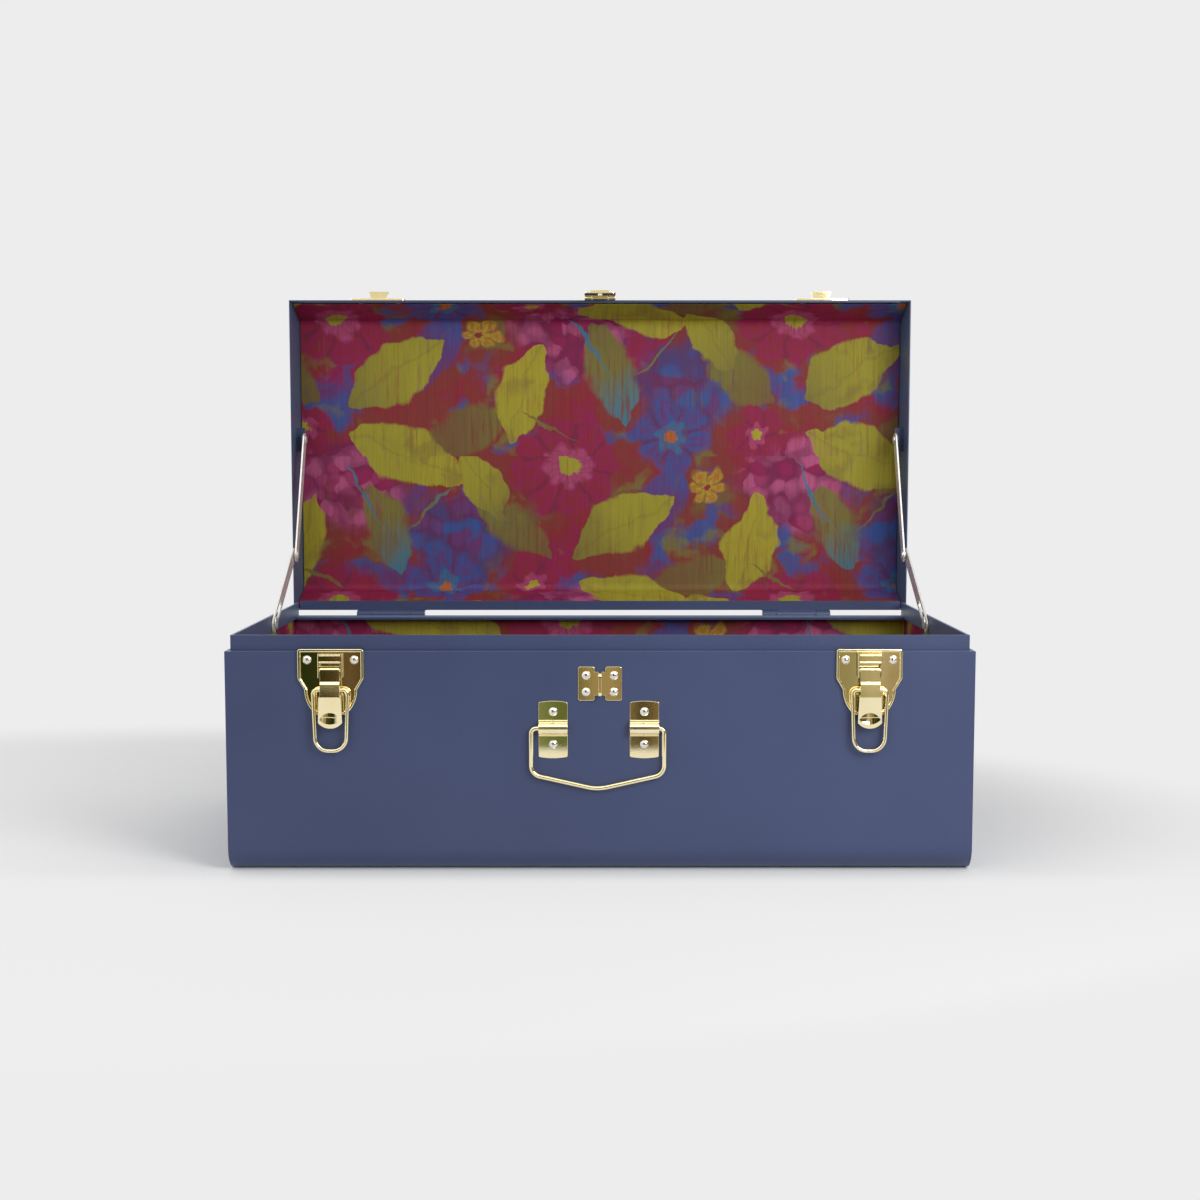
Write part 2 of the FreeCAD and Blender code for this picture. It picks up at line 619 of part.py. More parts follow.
def lever_profile():
    """Side view of the lever: flat neck, step, and a long face that leans in down to the tip."""
    y = FRONT_Y
    knuckle = rod_x(LEVER_KNUCKLE_R, -LEVER_NECK * HALF, LEVER_NECK * HALF, y - LEVER_PIN_OUT, LEVER_PIN_Z)
    neck_y = y - LEVER_PIN_OUT - LEVER_KNUCKLE_R
    points = [
        Vector(0, neck_y, LEVER_PIN_Z),
        Vector(0, neck_y, LEVER_DIP_Z),
        Vector(0, y - LEVER_BEND_OUT, LEVER_BEND_Z),
        Vector(0, y - LEVER_FACE_OUT, LEVER_FACE_Z),
        Vector(0, y - LEVER_TIP_OUT, LEVER_TIP_Z),
        Vector(0, y - LEVER_TIP_OUT + LEVER_WALL + LEVER_WALL, LEVER_TIP_Z),
        Vector(0, y - LEVER_HEEL_OUT - LEVER_WALL, LEVER_LOW_Z),
        Vector(0, y - LEVER_HEEL_OUT, LEVER_HEEL_Z),
        Vector(0, y - LEVER_HEEL_OUT, LEVER_DIP_Z),
        Vector(0, y - LEVER_PIN_OUT, LEVER_PIN_Z),
    ]
    blade = prism(points, Vector(LEVER_TIP_WIDTH, 0, 0))
    blade.translate(Vector(-LEVER_TIP_WIDTH * HALF, 0, 0))
    return fuse(knuckle, blade)


def lever_front_outline():
    """Front view of the lever: narrow neck, flared handle and a round tip."""
    neck = LEVER_NECK * HALF
    mid = LEVER_WIDTH * HALF
    tip = LEVER_TIP_WIDTH * HALF
    y = FRONT_Y + OVERRUN
    high = LEVER_PIN_Z + LEVER_KNUCKLE_R + OVERRUN
    right = [Vector(neck, y, high), Vector(neck, y, LEVER_FACE_Z + LEVER_WALL), Vector(mid, y, LEVER_FACE_Z),
             Vector(tip, y, LEVER_CORNER_Z)]
    flip = [Vector(-p.x, y, p.z) for p in reversed(right)]
    edges = [Part.LineSegment(a, b) for a, b in zip(right, right[1:])]
    edges.append(Part.Arc(right[-1], Vector(0, y, LEVER_TIP_Z), flip[0]))
    edges = edges + [Part.LineSegment(a, b) for a, b in zip(flip, flip[1:])]
    edges.append(Part.LineSegment(flip[-1], right[0]))
    face = Part.Face(Part.Wire([edge.toShape() for edge in edges]))
    return face.extrude(Vector(0, -OVERRUN - LEVER_FACE_OUT - OVERRUN, 0))


def thumb_scoop():
    """Half-round hollow in the lever's face, deepest at its top and level with the face at the lip."""
    lean = (LEVER_FACE_OUT - LEVER_TIP_OUT) / (LEVER_FACE_Z - LEVER_TIP_Z)
    lip_y = FRONT_Y - LEVER_TIP_OUT - lean * (LEVER_LIP_Z - LEVER_TIP_Z)
    ball_r = LEVER_THUMB_BALL_R
    centre_y = lip_y - math.sqrt(ball_r * ball_r - LEVER_THUMB_R * LEVER_THUMB_R)
    ball = Part.makeSphere(ball_r, Vector(0, centre_y, LEVER_LIP_Z + LEVER_THUMB_R))
    start = Vector(0, FRONT_Y - LEVER_FACE_OUT - OVERRUN, LEVER_LIP_Z)
    disc = Part.makeCylinder(LEVER_THUMB_R, LEVER_FACE_OUT + OVERRUN, start, Y_AXIS)
    upper = box(-LEVER_TIP_WIDTH, LEVER_TIP_WIDTH, start.y, FRONT_Y, LEVER_LIP_Z, LEVER_FACE_Z)
    return ball.common(disc).common(upper)


def latch_lever():
    lever = lever_profile().common(lever_front_outline())
    inner = LEVER_NECK * HALF - LEVER_WALL - LEVER_WALL
    back = box(-inner, inner, FRONT_Y - LEVER_HEEL_OUT - LEVER_WALL - LEVER_WALL, FRONT_Y, LEVER_LOW_Z,
               LEVER_DIP_Z)
    wide = LEVER_TIP_WIDTH + OVERRUN
    pin = rod_x(LEVER_PIN_R + RUN_GAP, -wide, wide, FRONT_Y - LEVER_PIN_OUT, LEVER_PIN_Z)
    hoop = rod_x(HOOP_WIRE_R + RUN_GAP, -wide, wide, FRONT_Y - HOOP_PIVOT_OUT, HOOP_PIVOT_Z)
    return cut(lever, back, pin, hoop, thumb_scoop())


def latch_hoop():
    """Wire hoop hanging from the lever's sides and round its tip."""
    y = FRONT_Y - HOOP_PIVOT_OUT
    inner = LEVER_NECK * HALF - LEVER_WALL - LEVER_WALL + FIT_GAP
    top = HOOP_WIDTH * HALF - HOOP_WIRE_R
    foot = HOOP_FOOT_WIDTH * HALF - HOOP_WIRE_R
    low = HOOP_END_Z + HOOP_WIRE_R
    side = [Vector(inner, y, HOOP_PIVOT_Z), Vector(top, y, HOOP_PIVOT_Z), Vector(foot, y, low)]
    flip = [Vector(-p.x, y, p.z) for p in reversed(side)]
    return bent_wire(side + flip, [HOOP_CORNER, HOOP_FOOT_ROUND, HOOP_FOOT_ROUND, HOOP_CORNER], HOOP_WIRE_R)


def catch_plate():
    """Lid plate with a raised border and an upturned hook that the hoop drops over."""
    low = RIM_GAP + CATCH_START
    half = CATCH_WIDTH * HALF
    tall = CATCH_PLATE + CATCH_BORDER_H
    pan = rounded_plate(-half, half, low, low + CATCH_HEIGHT, 0, tall, LATCH_CORNER)
    rim = CATCH_BORDER
    hollow = rounded_plate(rim - half, half - rim, low + rim, low + CATCH_HEIGHT - rim, CATCH_PLATE,
                           tall + OVERRUN, LATCH_CORNER * HALF)
    hoop_top = HOOP_PIVOT_Z + HOOP_PIVOT_Z - HOOP_END_Z
    seat_r = HOOP_FOOT_WIDTH * HALF - HOOP_WIRE_R - HOOP_WIRE_R - FIT_GAP
    seat_top = hoop_top - HOOP_WIRE_R - HOOP_WIRE_R - FIT_GAP
    lip_in = HOOP_PIVOT_OUT + HOOP_WIRE_R + FIT_GAP
    lip_out = lip_in + CATCH_HOOK_WALL
    y0 = FRONT_Y - lip_out
    foot = CATCH_HOOK_FOOT * HALF
    wide = CATCH_HOOK_WIDTH * HALF
    ledge_low = seat_top - seat_r * HALF
    cheeks = [Vector(-foot, FRONT_Y, ledge_low), Vector(foot, FRONT_Y, ledge_low),
              Vector(wide, y0, ledge_low), Vector(-wide, y0, ledge_low)]
    block = prism(cheeks, Vector(0, 0, hoop_top + CATCH_HOOK_LIP * HALF - ledge_low))
    drum = Part.makeCylinder(seat_r, lip_out, Vector(0, y0, seat_top - seat_r), Y_AXIS)
    ledge = block.common(drum)
    lip = block.common(box(-wide, wide, y0, FRONT_Y - lip_in, ledge_low, hoop_top + CATCH_HOOK_LIP))
    return fuse(eased(cut(pan, hollow), tall, PLATE_ROUND), ledge, lip)


def moved_x(shape, x):
    piece = shape.copy()
    piece.translate(Vector(x, 0, 0))
    return piece


def latches():
    plate = raised(latch_plate())
    lever = raised(latch_lever())
    hoop = raised(latch_hoop())
    catch = raised(catch_plate())
    half = CHANNEL_WIDTH * HALF
    pin = raised(rod_x(LEVER_PIN_R, -half, half, FRONT_Y - LEVER_PIN_OUT, LEVER_PIN_Z))
    for side, s in SIDES:
        x = s * LATCH_X
        holes = [rivet_hole(rx, rz) for rx, rz in LATCH_RIVETS[side]]
        SHAPES["latch_plate_" + side] = cut(moved_x(plate, x), *holes)
        SHAPES["latch_lever_" + side] = moved_x(lever, x)
        SHAPES["latch_hoop_" + side] = moved_x(hoop, x)
        SHAPES["latch_pin_" + side] = moved_x(pin, x)
        rivets = [rivet(rx, rz, LATCH_PLATE) for rx, rz in LATCH_RIVETS[side]]
        SHAPES["latch_rivets_" + side] = Part.makeCompound(rivets)
        holes = [rivet_hole(rx, rz) for rx, rz in CATCH_RIVETS[side]]
        SHAPES["catch_plate_" + side] = opened(cut(moved_x(catch, x), *holes))
        rivets = [opened(rivet(rx, rz, CATCH_PLATE)) for rx, rz in CATCH_RIVETS[side]]
        SHAPES["catch_rivets_" + side] = Part.makeCompound(rivets)


def staple():
    """Two riveted wings joined by a narrower web that is folded out into a fin with an eye."""
    half = STAPLE_WIDTH * HALF
    web = STAPLE_WEB * HALF
    bottom = BODY_HEIGHT + STAPLE_LOW
    top = BODY_HEIGHT + STAPLE_TOP
    wings = []
    for s in (-1, 1):
        x0, x1 = sorted((s * web, s * half))
        wing = rounded_plate(x0, x1, bottom, top, 0, STAPLE_PLATE, STAPLE_CORNER)
        wings.append(eased(wing, STAPLE_PLATE, PLATE_ROUND))
    low = bottom + STAPLE_WEB_INSET
    high = top - STAPLE_WEB_INSET
    overlap = web + STAPLE_CORNER
    bridge = box(-overlap, overlap, FRONT_Y - STAPLE_PLATE, FRONT_Y, low, high)
    fin_low = STAPLE_MID_Z - FIN_HEIGHT * HALF
    fin_high = STAPLE_MID_Z + FIN_HEIGHT * HALF
    thick = FIN_THICK * HALF
    fin = box(-thick, thick, FRONT_Y - FIN_REACH, FRONT_Y - STAPLE_PLATE * HALF, fin_low, fin_high)
    nose = [e for e in fin.Edges if abs(e.tangentAt(e.FirstParameter).x) > HALF
            and abs(e.CenterOfMass.y - FRONT_Y + FIN_REACH) < FIT_GAP]
    fin = fin.makeFillet(FIN_CORNER, nose)
    eye = rod_x(EYE_R, -half, half, FRONT_Y - EYE_OUT, STAPLE_MID_Z)
    holes = [rivet_hole(x, z) for x, z in STAPLE_RIVETS]
    SHAPES["staple"] = cut(fuse(bridge, wings[0], wings[1], fin), eye, *holes)
    rivets = [rivet(x, z, STAPLE_PLATE) for x, z in STAPLE_RIVETS]
    SHAPES["staple_rivets"] = Part.makeCompound(rivets)


def hasp():
    """Plate on the lid, a pin and a slotted strap that drops over the staple's fin."""
    half = HASP_WIDTH * HALF
    middle = HASP_MIDDLE * HALF
    axis_z = RIM_Z + HASP_AXIS_UP
    axis_y = FRONT_Y - HASP_AXIS_OUT
    bore = rod_x(HASP_PIN_R + RUN_GAP, -half - OVERRUN, half + OVERRUN, axis_y, axis_z)
    plate_low = axis_z + HASP_KNUCKLE_R + FIT_GAP
    plate_top = plate_low + HASP_PLATE_HEIGHT
    plate = rounded_plate(-half, half, plate_low, plate_top, 0, HASP_PLATE, HASP_CORNER * HALF)
    plate = eased(plate, HASP_PLATE, PLATE_ROUND)
    knuckles = []
    for s in (-1, 1):
        x0, x1 = sorted((s * (middle + HINGE_SIDE_GAP), s * half))
        knuckles.append(rod_x(HASP_KNUCKLE_R, x0, x1, axis_y, axis_z))
        knuckles.append(box(x0, x1, FRONT_Y - HASP_PLATE, FRONT_Y, axis_z, plate_low + HASP_CORNER))
    holes = [rivet_hole(x, z) for x, z in HASP_RIVETS]
    SHAPES["hasp_plate"] = opened(cut(fuse(plate, *knuckles), bore, *holes))
    SHAPES["hasp_pin"] = opened(rod_x(HASP_PIN_R, -half, half, axis_y, axis_z))
    rivets = [opened(rivet(x, z, HASP_PLATE)) for x, z in HASP_RIVETS]
    SHAPES["hasp_rivets"] = Part.makeCompound(rivets)
    out1 = HASP_AXIS_OUT + HASP_KNUCKLE_R
    out0 = out1 - HASP_PLATE
    shoulder = axis_z - HASP_KNUCKLE_R - FIT_GAP
    end = BODY_HEIGHT + HASP_END_Z
    strap = eased(rounded_plate(-half, half, end, shoulder, out0, out1, HASP_CORNER), out1, PLATE_ROUND)
    tongue = box(-middle, middle, FRONT_Y - out1, FRONT_Y - out0, shoulder - HASP_CORNER, axis_z)
    knuckle = rod_x(HASP_KNUCKLE_R, -middle, middle, axis_y, axis_z)
    slot_half = HASP_SLOT_WIDTH * HALF
    slot_low = STAPLE_MID_Z - FIN_HEIGHT * HALF - HASP_SLOT_GAP
    slot_high = STAPLE_MID_Z + FIN_HEIGHT * HALF + HASP_SLOT_GAP
    slot = box(-slot_half, slot_half, FRONT_Y - out1 - OVERRUN, FRONT_Y, slot_low, slot_high)
    lip_half = HASP_LIP_WIDTH * HALF
    lip = box(-lip_half, lip_half, FRONT_Y - out1 - HASP_LIP_OUT, FRONT_Y - out0, end, end + HASP_PLATE)
    SHAPES["hasp_strap"] = opened(cut(fuse(strap, tongue, knuckle, lip), slot, bore))


def handle_bracket(x, side):
    """Riveted plate with arched ends and a half-round barrel with two small ribs beside it."""
    half = BRACKET_WIDTH * HALF
    y = FRONT_Y
    low0 = Vector(x - half, y, BRACKET_LOW)
    low1 = Vector(x + half, y, BRACKET_LOW)
    top0 = Vector(x - half, y, BRACKET_TOP)
    top1 = Vector(x + half, y, BRACKET_TOP)
    edges = [
        Part.Arc(low0, Vector(x, y, BRACKET_LOW - BRACKET_CROWN), low1),
        Part.LineSegment(low1, top1),
        Part.Arc(top1, Vector(x, y, BRACKET_TOP + BRACKET_CROWN), top0),
        Part.LineSegment(top0, low0),
    ]
    face = Part.Face(Part.Wire([edge.toShape() for edge in edges]))
    plate = face.extrude(Vector(0, -BRACKET_PLATE, 0))
    upright = [e for e in plate.Edges if abs(e.tangentAt(e.FirstParameter).y) > HALF]
    plate = eased(plate.makeFillet(BRACKET_CORNER, upright), BRACKET_PLATE, PLATE_ROUND)
    barrel = rod_x(BARREL_R, x - half, x + half, FRONT_Y - BARREL_OUT, HANDLE_AXIS_Z)
    reach = FRONT_Y - BARREL_R - BARREL_OUT
    barrel = barrel.common(box(x - half, x + half, reach, FRONT_Y, BRACKET_LOW, BRACKET_TOP))
    rib_z = math.sqrt(BARREL_R * BARREL_R - BARREL_OUT * BARREL_OUT) + BARREL_RIB_R
    ribs = [rod_x(BARREL_RIB_R, x - half, x + half, FRONT_Y - BRACKET_PLATE, HANDLE_AXIS_Z + k * rib_z)
            for k in (-1, 1)]
    bore = rod_x(HANDLE_WIRE_R + RUN_GAP, x - half - OVERRUN, x + half + OVERRUN,
                 FRONT_Y - BARREL_OUT - RIM_GAP, HANDLE_AXIS_Z)
    holes = [rivet_hole(rx, rz) for rx, rz in HANDLE_RIVETS[side]]
    return cut(raised(cut(fuse(plate, barrel, *ribs), bore)), *holes)


def handle():
    rivets = []
    for side, x in BRACKET_X.items():
        SHAPES["handle_bracket_" + side] = handle_bracket(x, side)
        rivets = rivets + [rivet(rx, rz, BRACKET_PLATE) for rx, rz in HANDLE_RIVETS[side]]
    SHAPES["handle_rivets"] = Part.makeCompound(rivets)
    y = FRONT_Y - BARREL_OUT - RIM_GAP
    outer = HANDLE_OUTER * HALF - HANDLE_WIRE_R
    inner = BRACKET_SPAN * HALF + BRACKET_WIDTH * HALF - HANDLE_GRIP
    side = [Vector(HANDLE_MID_X + inner, y, HANDLE_AXIS_Z), Vector(HANDLE_MID_X + outer, y, HANDLE_AXIS_Z),
            Vector(HANDLE_MID_X + outer, y, HANDLE_BEND_Z)]
    low = Vector(HANDLE_MID_X, y, HANDLE_LOW_Z)
    flip = [Vector(HANDLE_MID_X + HANDLE_MID_X - p.x, y, p.z) for p in reversed(side)]
    radii = [HANDLE_TOP_ROUND, HANDLE_SIDE_ROUND, HANDLE_LOW_ROUND, HANDLE_SIDE_ROUND, HANDLE_TOP_ROUND]
    SHAPES["handle_bail"] = raised(bent_wire(side + [low] + flip, radii, HANDLE_WIRE_R))


def stay_bar(x0, x1, start, end):
    """Flat bar with round ends between two points of the side view."""
    run = end - start
    length = run.Length
    half = STAY_WIDTH * HALF
    bar = box(x0, x1, 0, length, -half, half)
    caps = [Part.makeCylinder(half, x1 - x0, Vector(x0, at, 0), X_AXIS) for at in (0, length)]
    bar = fuse(bar, *caps)
    bar.rotate(Vector(0, 0, 0), X_AXIS, math.degrees(math.atan2(run.z, run.y)))
    bar.translate(Vector(0, start.y, start.z))
    return bar


def stay_slot(x0, x1, start, end):
    """Long hole in the lower bar that slides on the body's stud."""
    run = (end - start).normalize()
    half = STAY_SLOT_WIDTH * HALF
    hole = box(x0, x1, -STAY_SLOT_BACK, STAY_SLOT_RUN, -half, half)
    caps = [Part.makeCylinder(half, x1 - x0, Vector(x0, at, 0), X_AXIS)
            for at in (-STAY_SLOT_BACK, STAY_SLOT_RUN)]
    hole = fuse(hole, *caps)
    hole.rotate(Vector(0, 0, 0), X_AXIS, math.degrees(math.atan2(run.z, run.y)))
    hole.translate(Vector(0, start.y, start.z))
    return hole


def stay_pieces():
    """Right-hand stay: lid bracket, two bars, elbow rivet, lid rivet and the stud on the neck."""
    lid_at = Vector(0, BACK_Y + STAY_LID_OUT, HINGE_Z + STAY_LID_UP)
    elbow = Vector(0, BACK_Y - STAY_ELBOW_IN, HINGE_Z + STAY_ELBOW_UP)
    stud_at = Vector(0, BACK_Y - STAY_STUD_IN, BODY_HEIGHT + STAY_STUD_UP)
    wall_x = END_X - NECK_IN
    low1 = wall_x - STAY_SKIN_GAP
    low0 = low1 - STAY_PLATE
    head1 = low0 - STAY_LAP_GAP
    head0 = head1 - BRACKET_SHEET
    up1 = head0 - STAY_LAP_GAP
    up0 = up1 - STAY_PLATE
    run = (elbow - stud_at).normalize()
    tail = stud_at - run * (STAY_SLOT_BACK + STAY_SLOT_END)
    lower = cut(stay_bar(low0, low1, tail, elbow), stay_slot(low0 - OVERRUN, low1 + OVERRUN, stud_at, elbow))
    upper = stay_bar(up0, up1, elbow, lid_at)
    hole_r = STAY_RIVET_R + RUN_GAP
    lower = cut(lower, rod_x(hole_r, low0 - OVERRUN, low1 + OVERRUN, elbow.y, elbow.z))
    upper = cut(upper, rod_x(STAY_RIVET_R, up0 - OVERRUN, up1 + OVERRUN, elbow.y, elbow.z),
                rod_x(hole_r, up0 - OVERRUN, up1 + OVERRUN, lid_at.y, lid_at.z))
    elbow_rivet = fuse(rod_x(STAY_RIVET_R, up0, low1, elbow.y, elbow.z),
                       rod_x(PIVOT_HEAD_R, up1, head1, elbow.y, elbow.z),
                       rod_x(PIVOT_HEAD_R, up0 - PIVOT_HEAD_H, up0, elbow.y, elbow.z))
    stud = fuse(rod_x(STAY_RIVET_R, head1, wall_x, stud_at.y, stud_at.z),
                rod_x(STAY_STUD_HEAD_R, head0, head1, stud_at.y, stud_at.z))
    ear = rod_x(BRACKET_EAR_R, head0, head1, lid_at.y, lid_at.z)
    half = BRACKET_LENGTH * HALF
    rise_y = lid_at.y + BRACKET_RISE
    plate = box(head0, head1, lid_at.y, rise_y, lid_at.z - half, lid_at.z + BRACKET_EAR_R)
    side_x = END_X - SHEET
    foot_x = side_x - BRACKET_SHEET
    riser = box(head0, side_x, rise_y, rise_y + BRACKET_SHEET, lid_at.z - half, lid_at.z + half)
    foot = box(foot_x, side_x, rise_y, rise_y + BRACKET_FOOT, lid_at.z - half, lid_at.z + half)
    bracket = fuse(ear, plate, riser, foot)
    bracket = cut(bracket, rod_x(STAY_RIVET_R, head0 - OVERRUN, side_x, lid_at.y, lid_at.z))
    cap = up0 - STAY_LAP_GAP
    lid_rivet = fuse(rod_x(STAY_RIVET_R, cap, head1, lid_at.y, lid_at.z),
                     rod_x(PIVOT_HEAD_R, cap - PIVOT_HEAD_H, cap, lid_at.y, lid_at.z))
    return {"stay_bracket": bracket, "stay_upper": upper, "stay_lower": lower,
            "stay_elbow_rivet": elbow_rivet, "stay_stud": stud, "stay_lid_rivet": lid_rivet}


def stays():
    for name, piece in stay_pieces().items():
        SHAPES[name + "_right"] = piece
        SHAPES[name + "_left"] = mirrored_x(piece)


def main():
    body_shell()
    neck_and_rail()
    body_lining()
    lid_shell()
    lid_lining()
    hinges()
    latches()
    staple()
    hasp()
    handle()
    stays()
    os.makedirs("parts", exist_ok=True)
    for name, shape in SHAPES.items():
        shape.exportStep(os.path.join("parts", name + ".step"))
        print(name, len(shape.Solids), round(shape.Volume), shape.isValid())


main()
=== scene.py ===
import math

import bpy
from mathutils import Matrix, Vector

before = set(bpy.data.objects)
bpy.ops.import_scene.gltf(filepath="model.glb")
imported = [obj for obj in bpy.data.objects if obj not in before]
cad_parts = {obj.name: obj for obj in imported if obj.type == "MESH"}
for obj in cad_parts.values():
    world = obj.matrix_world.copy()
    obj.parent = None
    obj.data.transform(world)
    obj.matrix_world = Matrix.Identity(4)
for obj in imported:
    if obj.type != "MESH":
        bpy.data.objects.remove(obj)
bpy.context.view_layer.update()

# Looks of a storage trunk with its lid up: paint, plated fittings, printed lining, studio. Metres
MM = 0.001

# Most of a noise's values lie in this range
NOISE_SPREAD = (0.3, 0.7)

# ---------------------------------------------------------------- node helpers


class Net:
    """Short ways to add and join shader nodes in one tree."""

    def __init__(self, tree):
        self.tree = tree

    def node(self, kind, **props):
        made = self.tree.nodes.new(kind)
        for key, value in props.items():
            setattr(made, key, value)
        return made

    def feed(self, socket, value):
        if isinstance(value, bpy.types.NodeSocket):
            self.tree.links.new(value, socket)
        elif value is not None:
            socket.default_value = value

    def math(self, op, a, b=None, c=None):
        made = self.node("ShaderNodeMath", operation=op)
        for socket, value in zip(made.inputs, (a, b, c)):
            self.feed(socket, value)
        return made.outputs[0]

    def vec(self, op, a, b=None, scale=None):
        made = self.node("ShaderNodeVectorMath", operation=op)
        self.feed(made.inputs[0], a)
        self.feed(made.inputs[1], b)
        if scale is not None:
            self.feed(made.inputs["Scale"], scale)
        return made.outputs[0]

    def length(self, v):
        made = self.node("ShaderNodeVectorMath", operation="LENGTH")
        self.feed(made.inputs[0], v)
        return made.outputs["Value"]

    def join(self, x, y, z=0.0):
        made = self.node("ShaderNodeCombineXYZ")
        for socket, value in zip(made.inputs, (x, y, z)):
            self.feed(socket, value)
        return made.outputs[0]

    def split(self, v):
        made = self.node("ShaderNodeSeparateXYZ")
        self.feed(made.inputs[0], v)
        return made.outputs

    def noise(self, v, scale, detail, rough, colour=False):
        made = self.node("ShaderNodeTexNoise")
        self.feed(made.inputs["Vector"], v)
        self.feed(made.inputs["Scale"], scale)
        self.feed(made.inputs["Detail"], detail)
        self.feed(made.inputs["Roughness"], rough)
        return made.outputs["Color"] if colour else made.outputs["Fac"]

    def span(self, value, over, to=(0.0, 1.0), smooth=False):
        """Maps one range of a value to another, held at both ends."""
        blend = "SMOOTHSTEP" if smooth else "LINEAR"
        made = self.node("ShaderNodeMapRange", interpolation_type=blend)
        for socket, given in zip(made.inputs, (value, *over, *to)):
            self.feed(socket, given)
        return made.outputs[0]

    def ramp(self, fac, stops):
        made = self.node("ShaderNodeValToRGB")
        self.feed(made.inputs[0], fac)
        bits = made.color_ramp.elements
        while len(bits) < len(stops):
            bits.new(0.5)
        for bit, (at, colour) in zip(bits, stops):
            bit.position = at
            bit.color = (*colour, 1.0)
        return made.outputs[0]

    def mix(self, fac, a, b):
        """Colour a where fac is 0, colour b where it is 1."""
        made = self.node("ShaderNodeMix", data_type="RGBA")
        factor, first, second = made.inputs[0], made.inputs[6], made.inputs[7]
        self.feed(factor, fac)
        self.feed(first, (*a, 1.0) if isinstance(a, tuple) else a)
        self.feed(second, (*b, 1.0) if isinstance(b, tuple) else b)
        return made.outputs[2]

    def mix_shader(self, fac, a, b):
        made = self.node("ShaderNodeMixShader")
        for socket, value in zip(made.inputs, (fac, a, b)):
            self.feed(socket, value)
        return made.outputs[0]

    def bump(self, height, strength, distance, normal=None):
        made = self.node("ShaderNodeBump")
        made.inputs["Strength"].default_value = strength
        made.inputs["Distance"].default_value = distance
        self.feed(made.inputs["Height"], height)
        self.feed(made.inputs["Normal"], normal)
        return made.outputs[0]


def srgb(r, g, b):
    """Linear colour from 0-255 screen values."""
    out = []
    for value in (r, g, b):
        c = value / 255.0
        out.append(c / 12.92 if c <= 0.04045 else ((c + 0.055) / 1.055) ** 2.4)
    return tuple(out)


def surface(name, **settings):
    """New Principled material; returns it with its net, shader and object coordinates."""
    material = bpy.data.materials.new(name)
    material.use_nodes = True
    net = Net(material.node_tree)
    shader = material.node_tree.nodes["Principled BSDF"]
    for key, value in settings.items():
        shader.inputs[key.replace("_", " ")].default_value = value
    coords = net.node("ShaderNodeTexCoord").outputs["Object"]
    return material, net, shader, coords


# ------------------------------------------------------------ metal and paint

PAINT_DEEP, PAINT_PALE, PAINT_SPECK = srgb(52, 62, 96), srgb(56, 66, 101), srgb(100, 110, 146)
PAINT_SHEEN = dict(Sheen_Weight=0.32, Sheen_Roughness=0.35, Sheen_Tint=(0.5, 0.72, 1.0, 1.0))
PAINT_GLOSS = (0.38, 0.44)
SPECK_FROM, SPECK_SHARE = (0.55, 0.75), (0.0, 0.12)
EDGE_ROUND = 0.4 * MM

# Noise as scale, detail and roughness; bump as strength and distance
PAINT_CLOUD, PAINT_GRAIN = (7.0, 3.0, 0.6), (900.0, 2.0, 0.6)
PEEL, PEEL_BUMP = (420.0, 2.0, 0.5), (0.05, 0.8 * MM)
SHEET_WAVE, SHEET_WAVE_BUMP = (5.0, 1.0, 0.4), (0.12, 4.0 * MM)
TINT_DRIFT, RUB = (45.0, 3.0, 0.6), (900.0, 3.0, 0.7)
RUB_BUMP, RUB_GLOSS = (0.03, 0.2 * MM), (0.8, 1.5)
PLATE_WAVE, PLATE_WAVE_BUMP = (110.0, 1.0, 0.4), (0.012, 0.5 * MM)
BRUSHED_ALONG_Z = (1.0, 1.0, 0.12)
EDGE_SAMPLES = 4


def blue_paint():
    """Satin powder coat on sheet: clouded blue, pale specks, orange peel and a soft blue sheen."""
    material, net, shader, p = surface("blue_paint", IOR=1.45, Specular_IOR_Level=0.5, **PAINT_SHEEN)
    cloud = net.noise(p, *PAINT_CLOUD)
    speck = net.noise(p, *PAINT_GRAIN)
    base = net.mix(net.span(cloud, NOISE_SPREAD), PAINT_DEEP, PAINT_PALE)
    base = net.mix(net.span(speck, SPECK_FROM, SPECK_SHARE), base, PAINT_SPECK)
    net.feed(shader.inputs["Base Color"], base)
    net.feed(shader.inputs["Roughness"], net.span(cloud, (0.25, 0.75), PAINT_GLOSS))
    wave = net.bump(net.noise(p, *SHEET_WAVE), *SHEET_WAVE_BUMP)
    net.feed(shader.inputs["Normal"], net.bump(net.noise(p, *PEEL), *PEEL_BUMP, wave))
    return material


def plated(name, tint, dark, rough, brushed=False, metallic=1.0):
    """Plated metal: soft edges, a tint that drifts a little and fine rub marks in the gloss."""
    material, net, shader, p = surface(name, Metallic=metallic)
    drift = net.noise(p, *TINT_DRIFT)
    dull = net.noise(net.vec("MULTIPLY", p, BRUSHED_ALONG_Z) if brushed else p, *RUB)
    net.feed(shader.inputs["Base Color"], net.mix(net.span(drift, (0.35, 0.7)), tint, dark))
    gloss = [rough * share for share in RUB_GLOSS]
    net.feed(shader.inputs["Roughness"], net.span(dull, (0.3, 0.75), gloss))
    edge = net.node("ShaderNodeBevel", samples=EDGE_SAMPLES)
    edge.inputs["Radius"].default_value = EDGE_ROUND
    wave = net.bump(net.noise(p, *PLATE_WAVE), *PLATE_WAVE_BUMP, edge.outputs[0])
    net.feed(shader.inputs["Normal"], net.bump(dull, *RUB_BUMP, wave))
    return material


# -------------------------------------------------------- the printed lining

# The print repeats along the trunk; every next column is half a repeat lower
REPEAT_X = 0.226
REPEAT_Y = 0.31
COLUMN_DROP = REPEAT_Y * 0.5

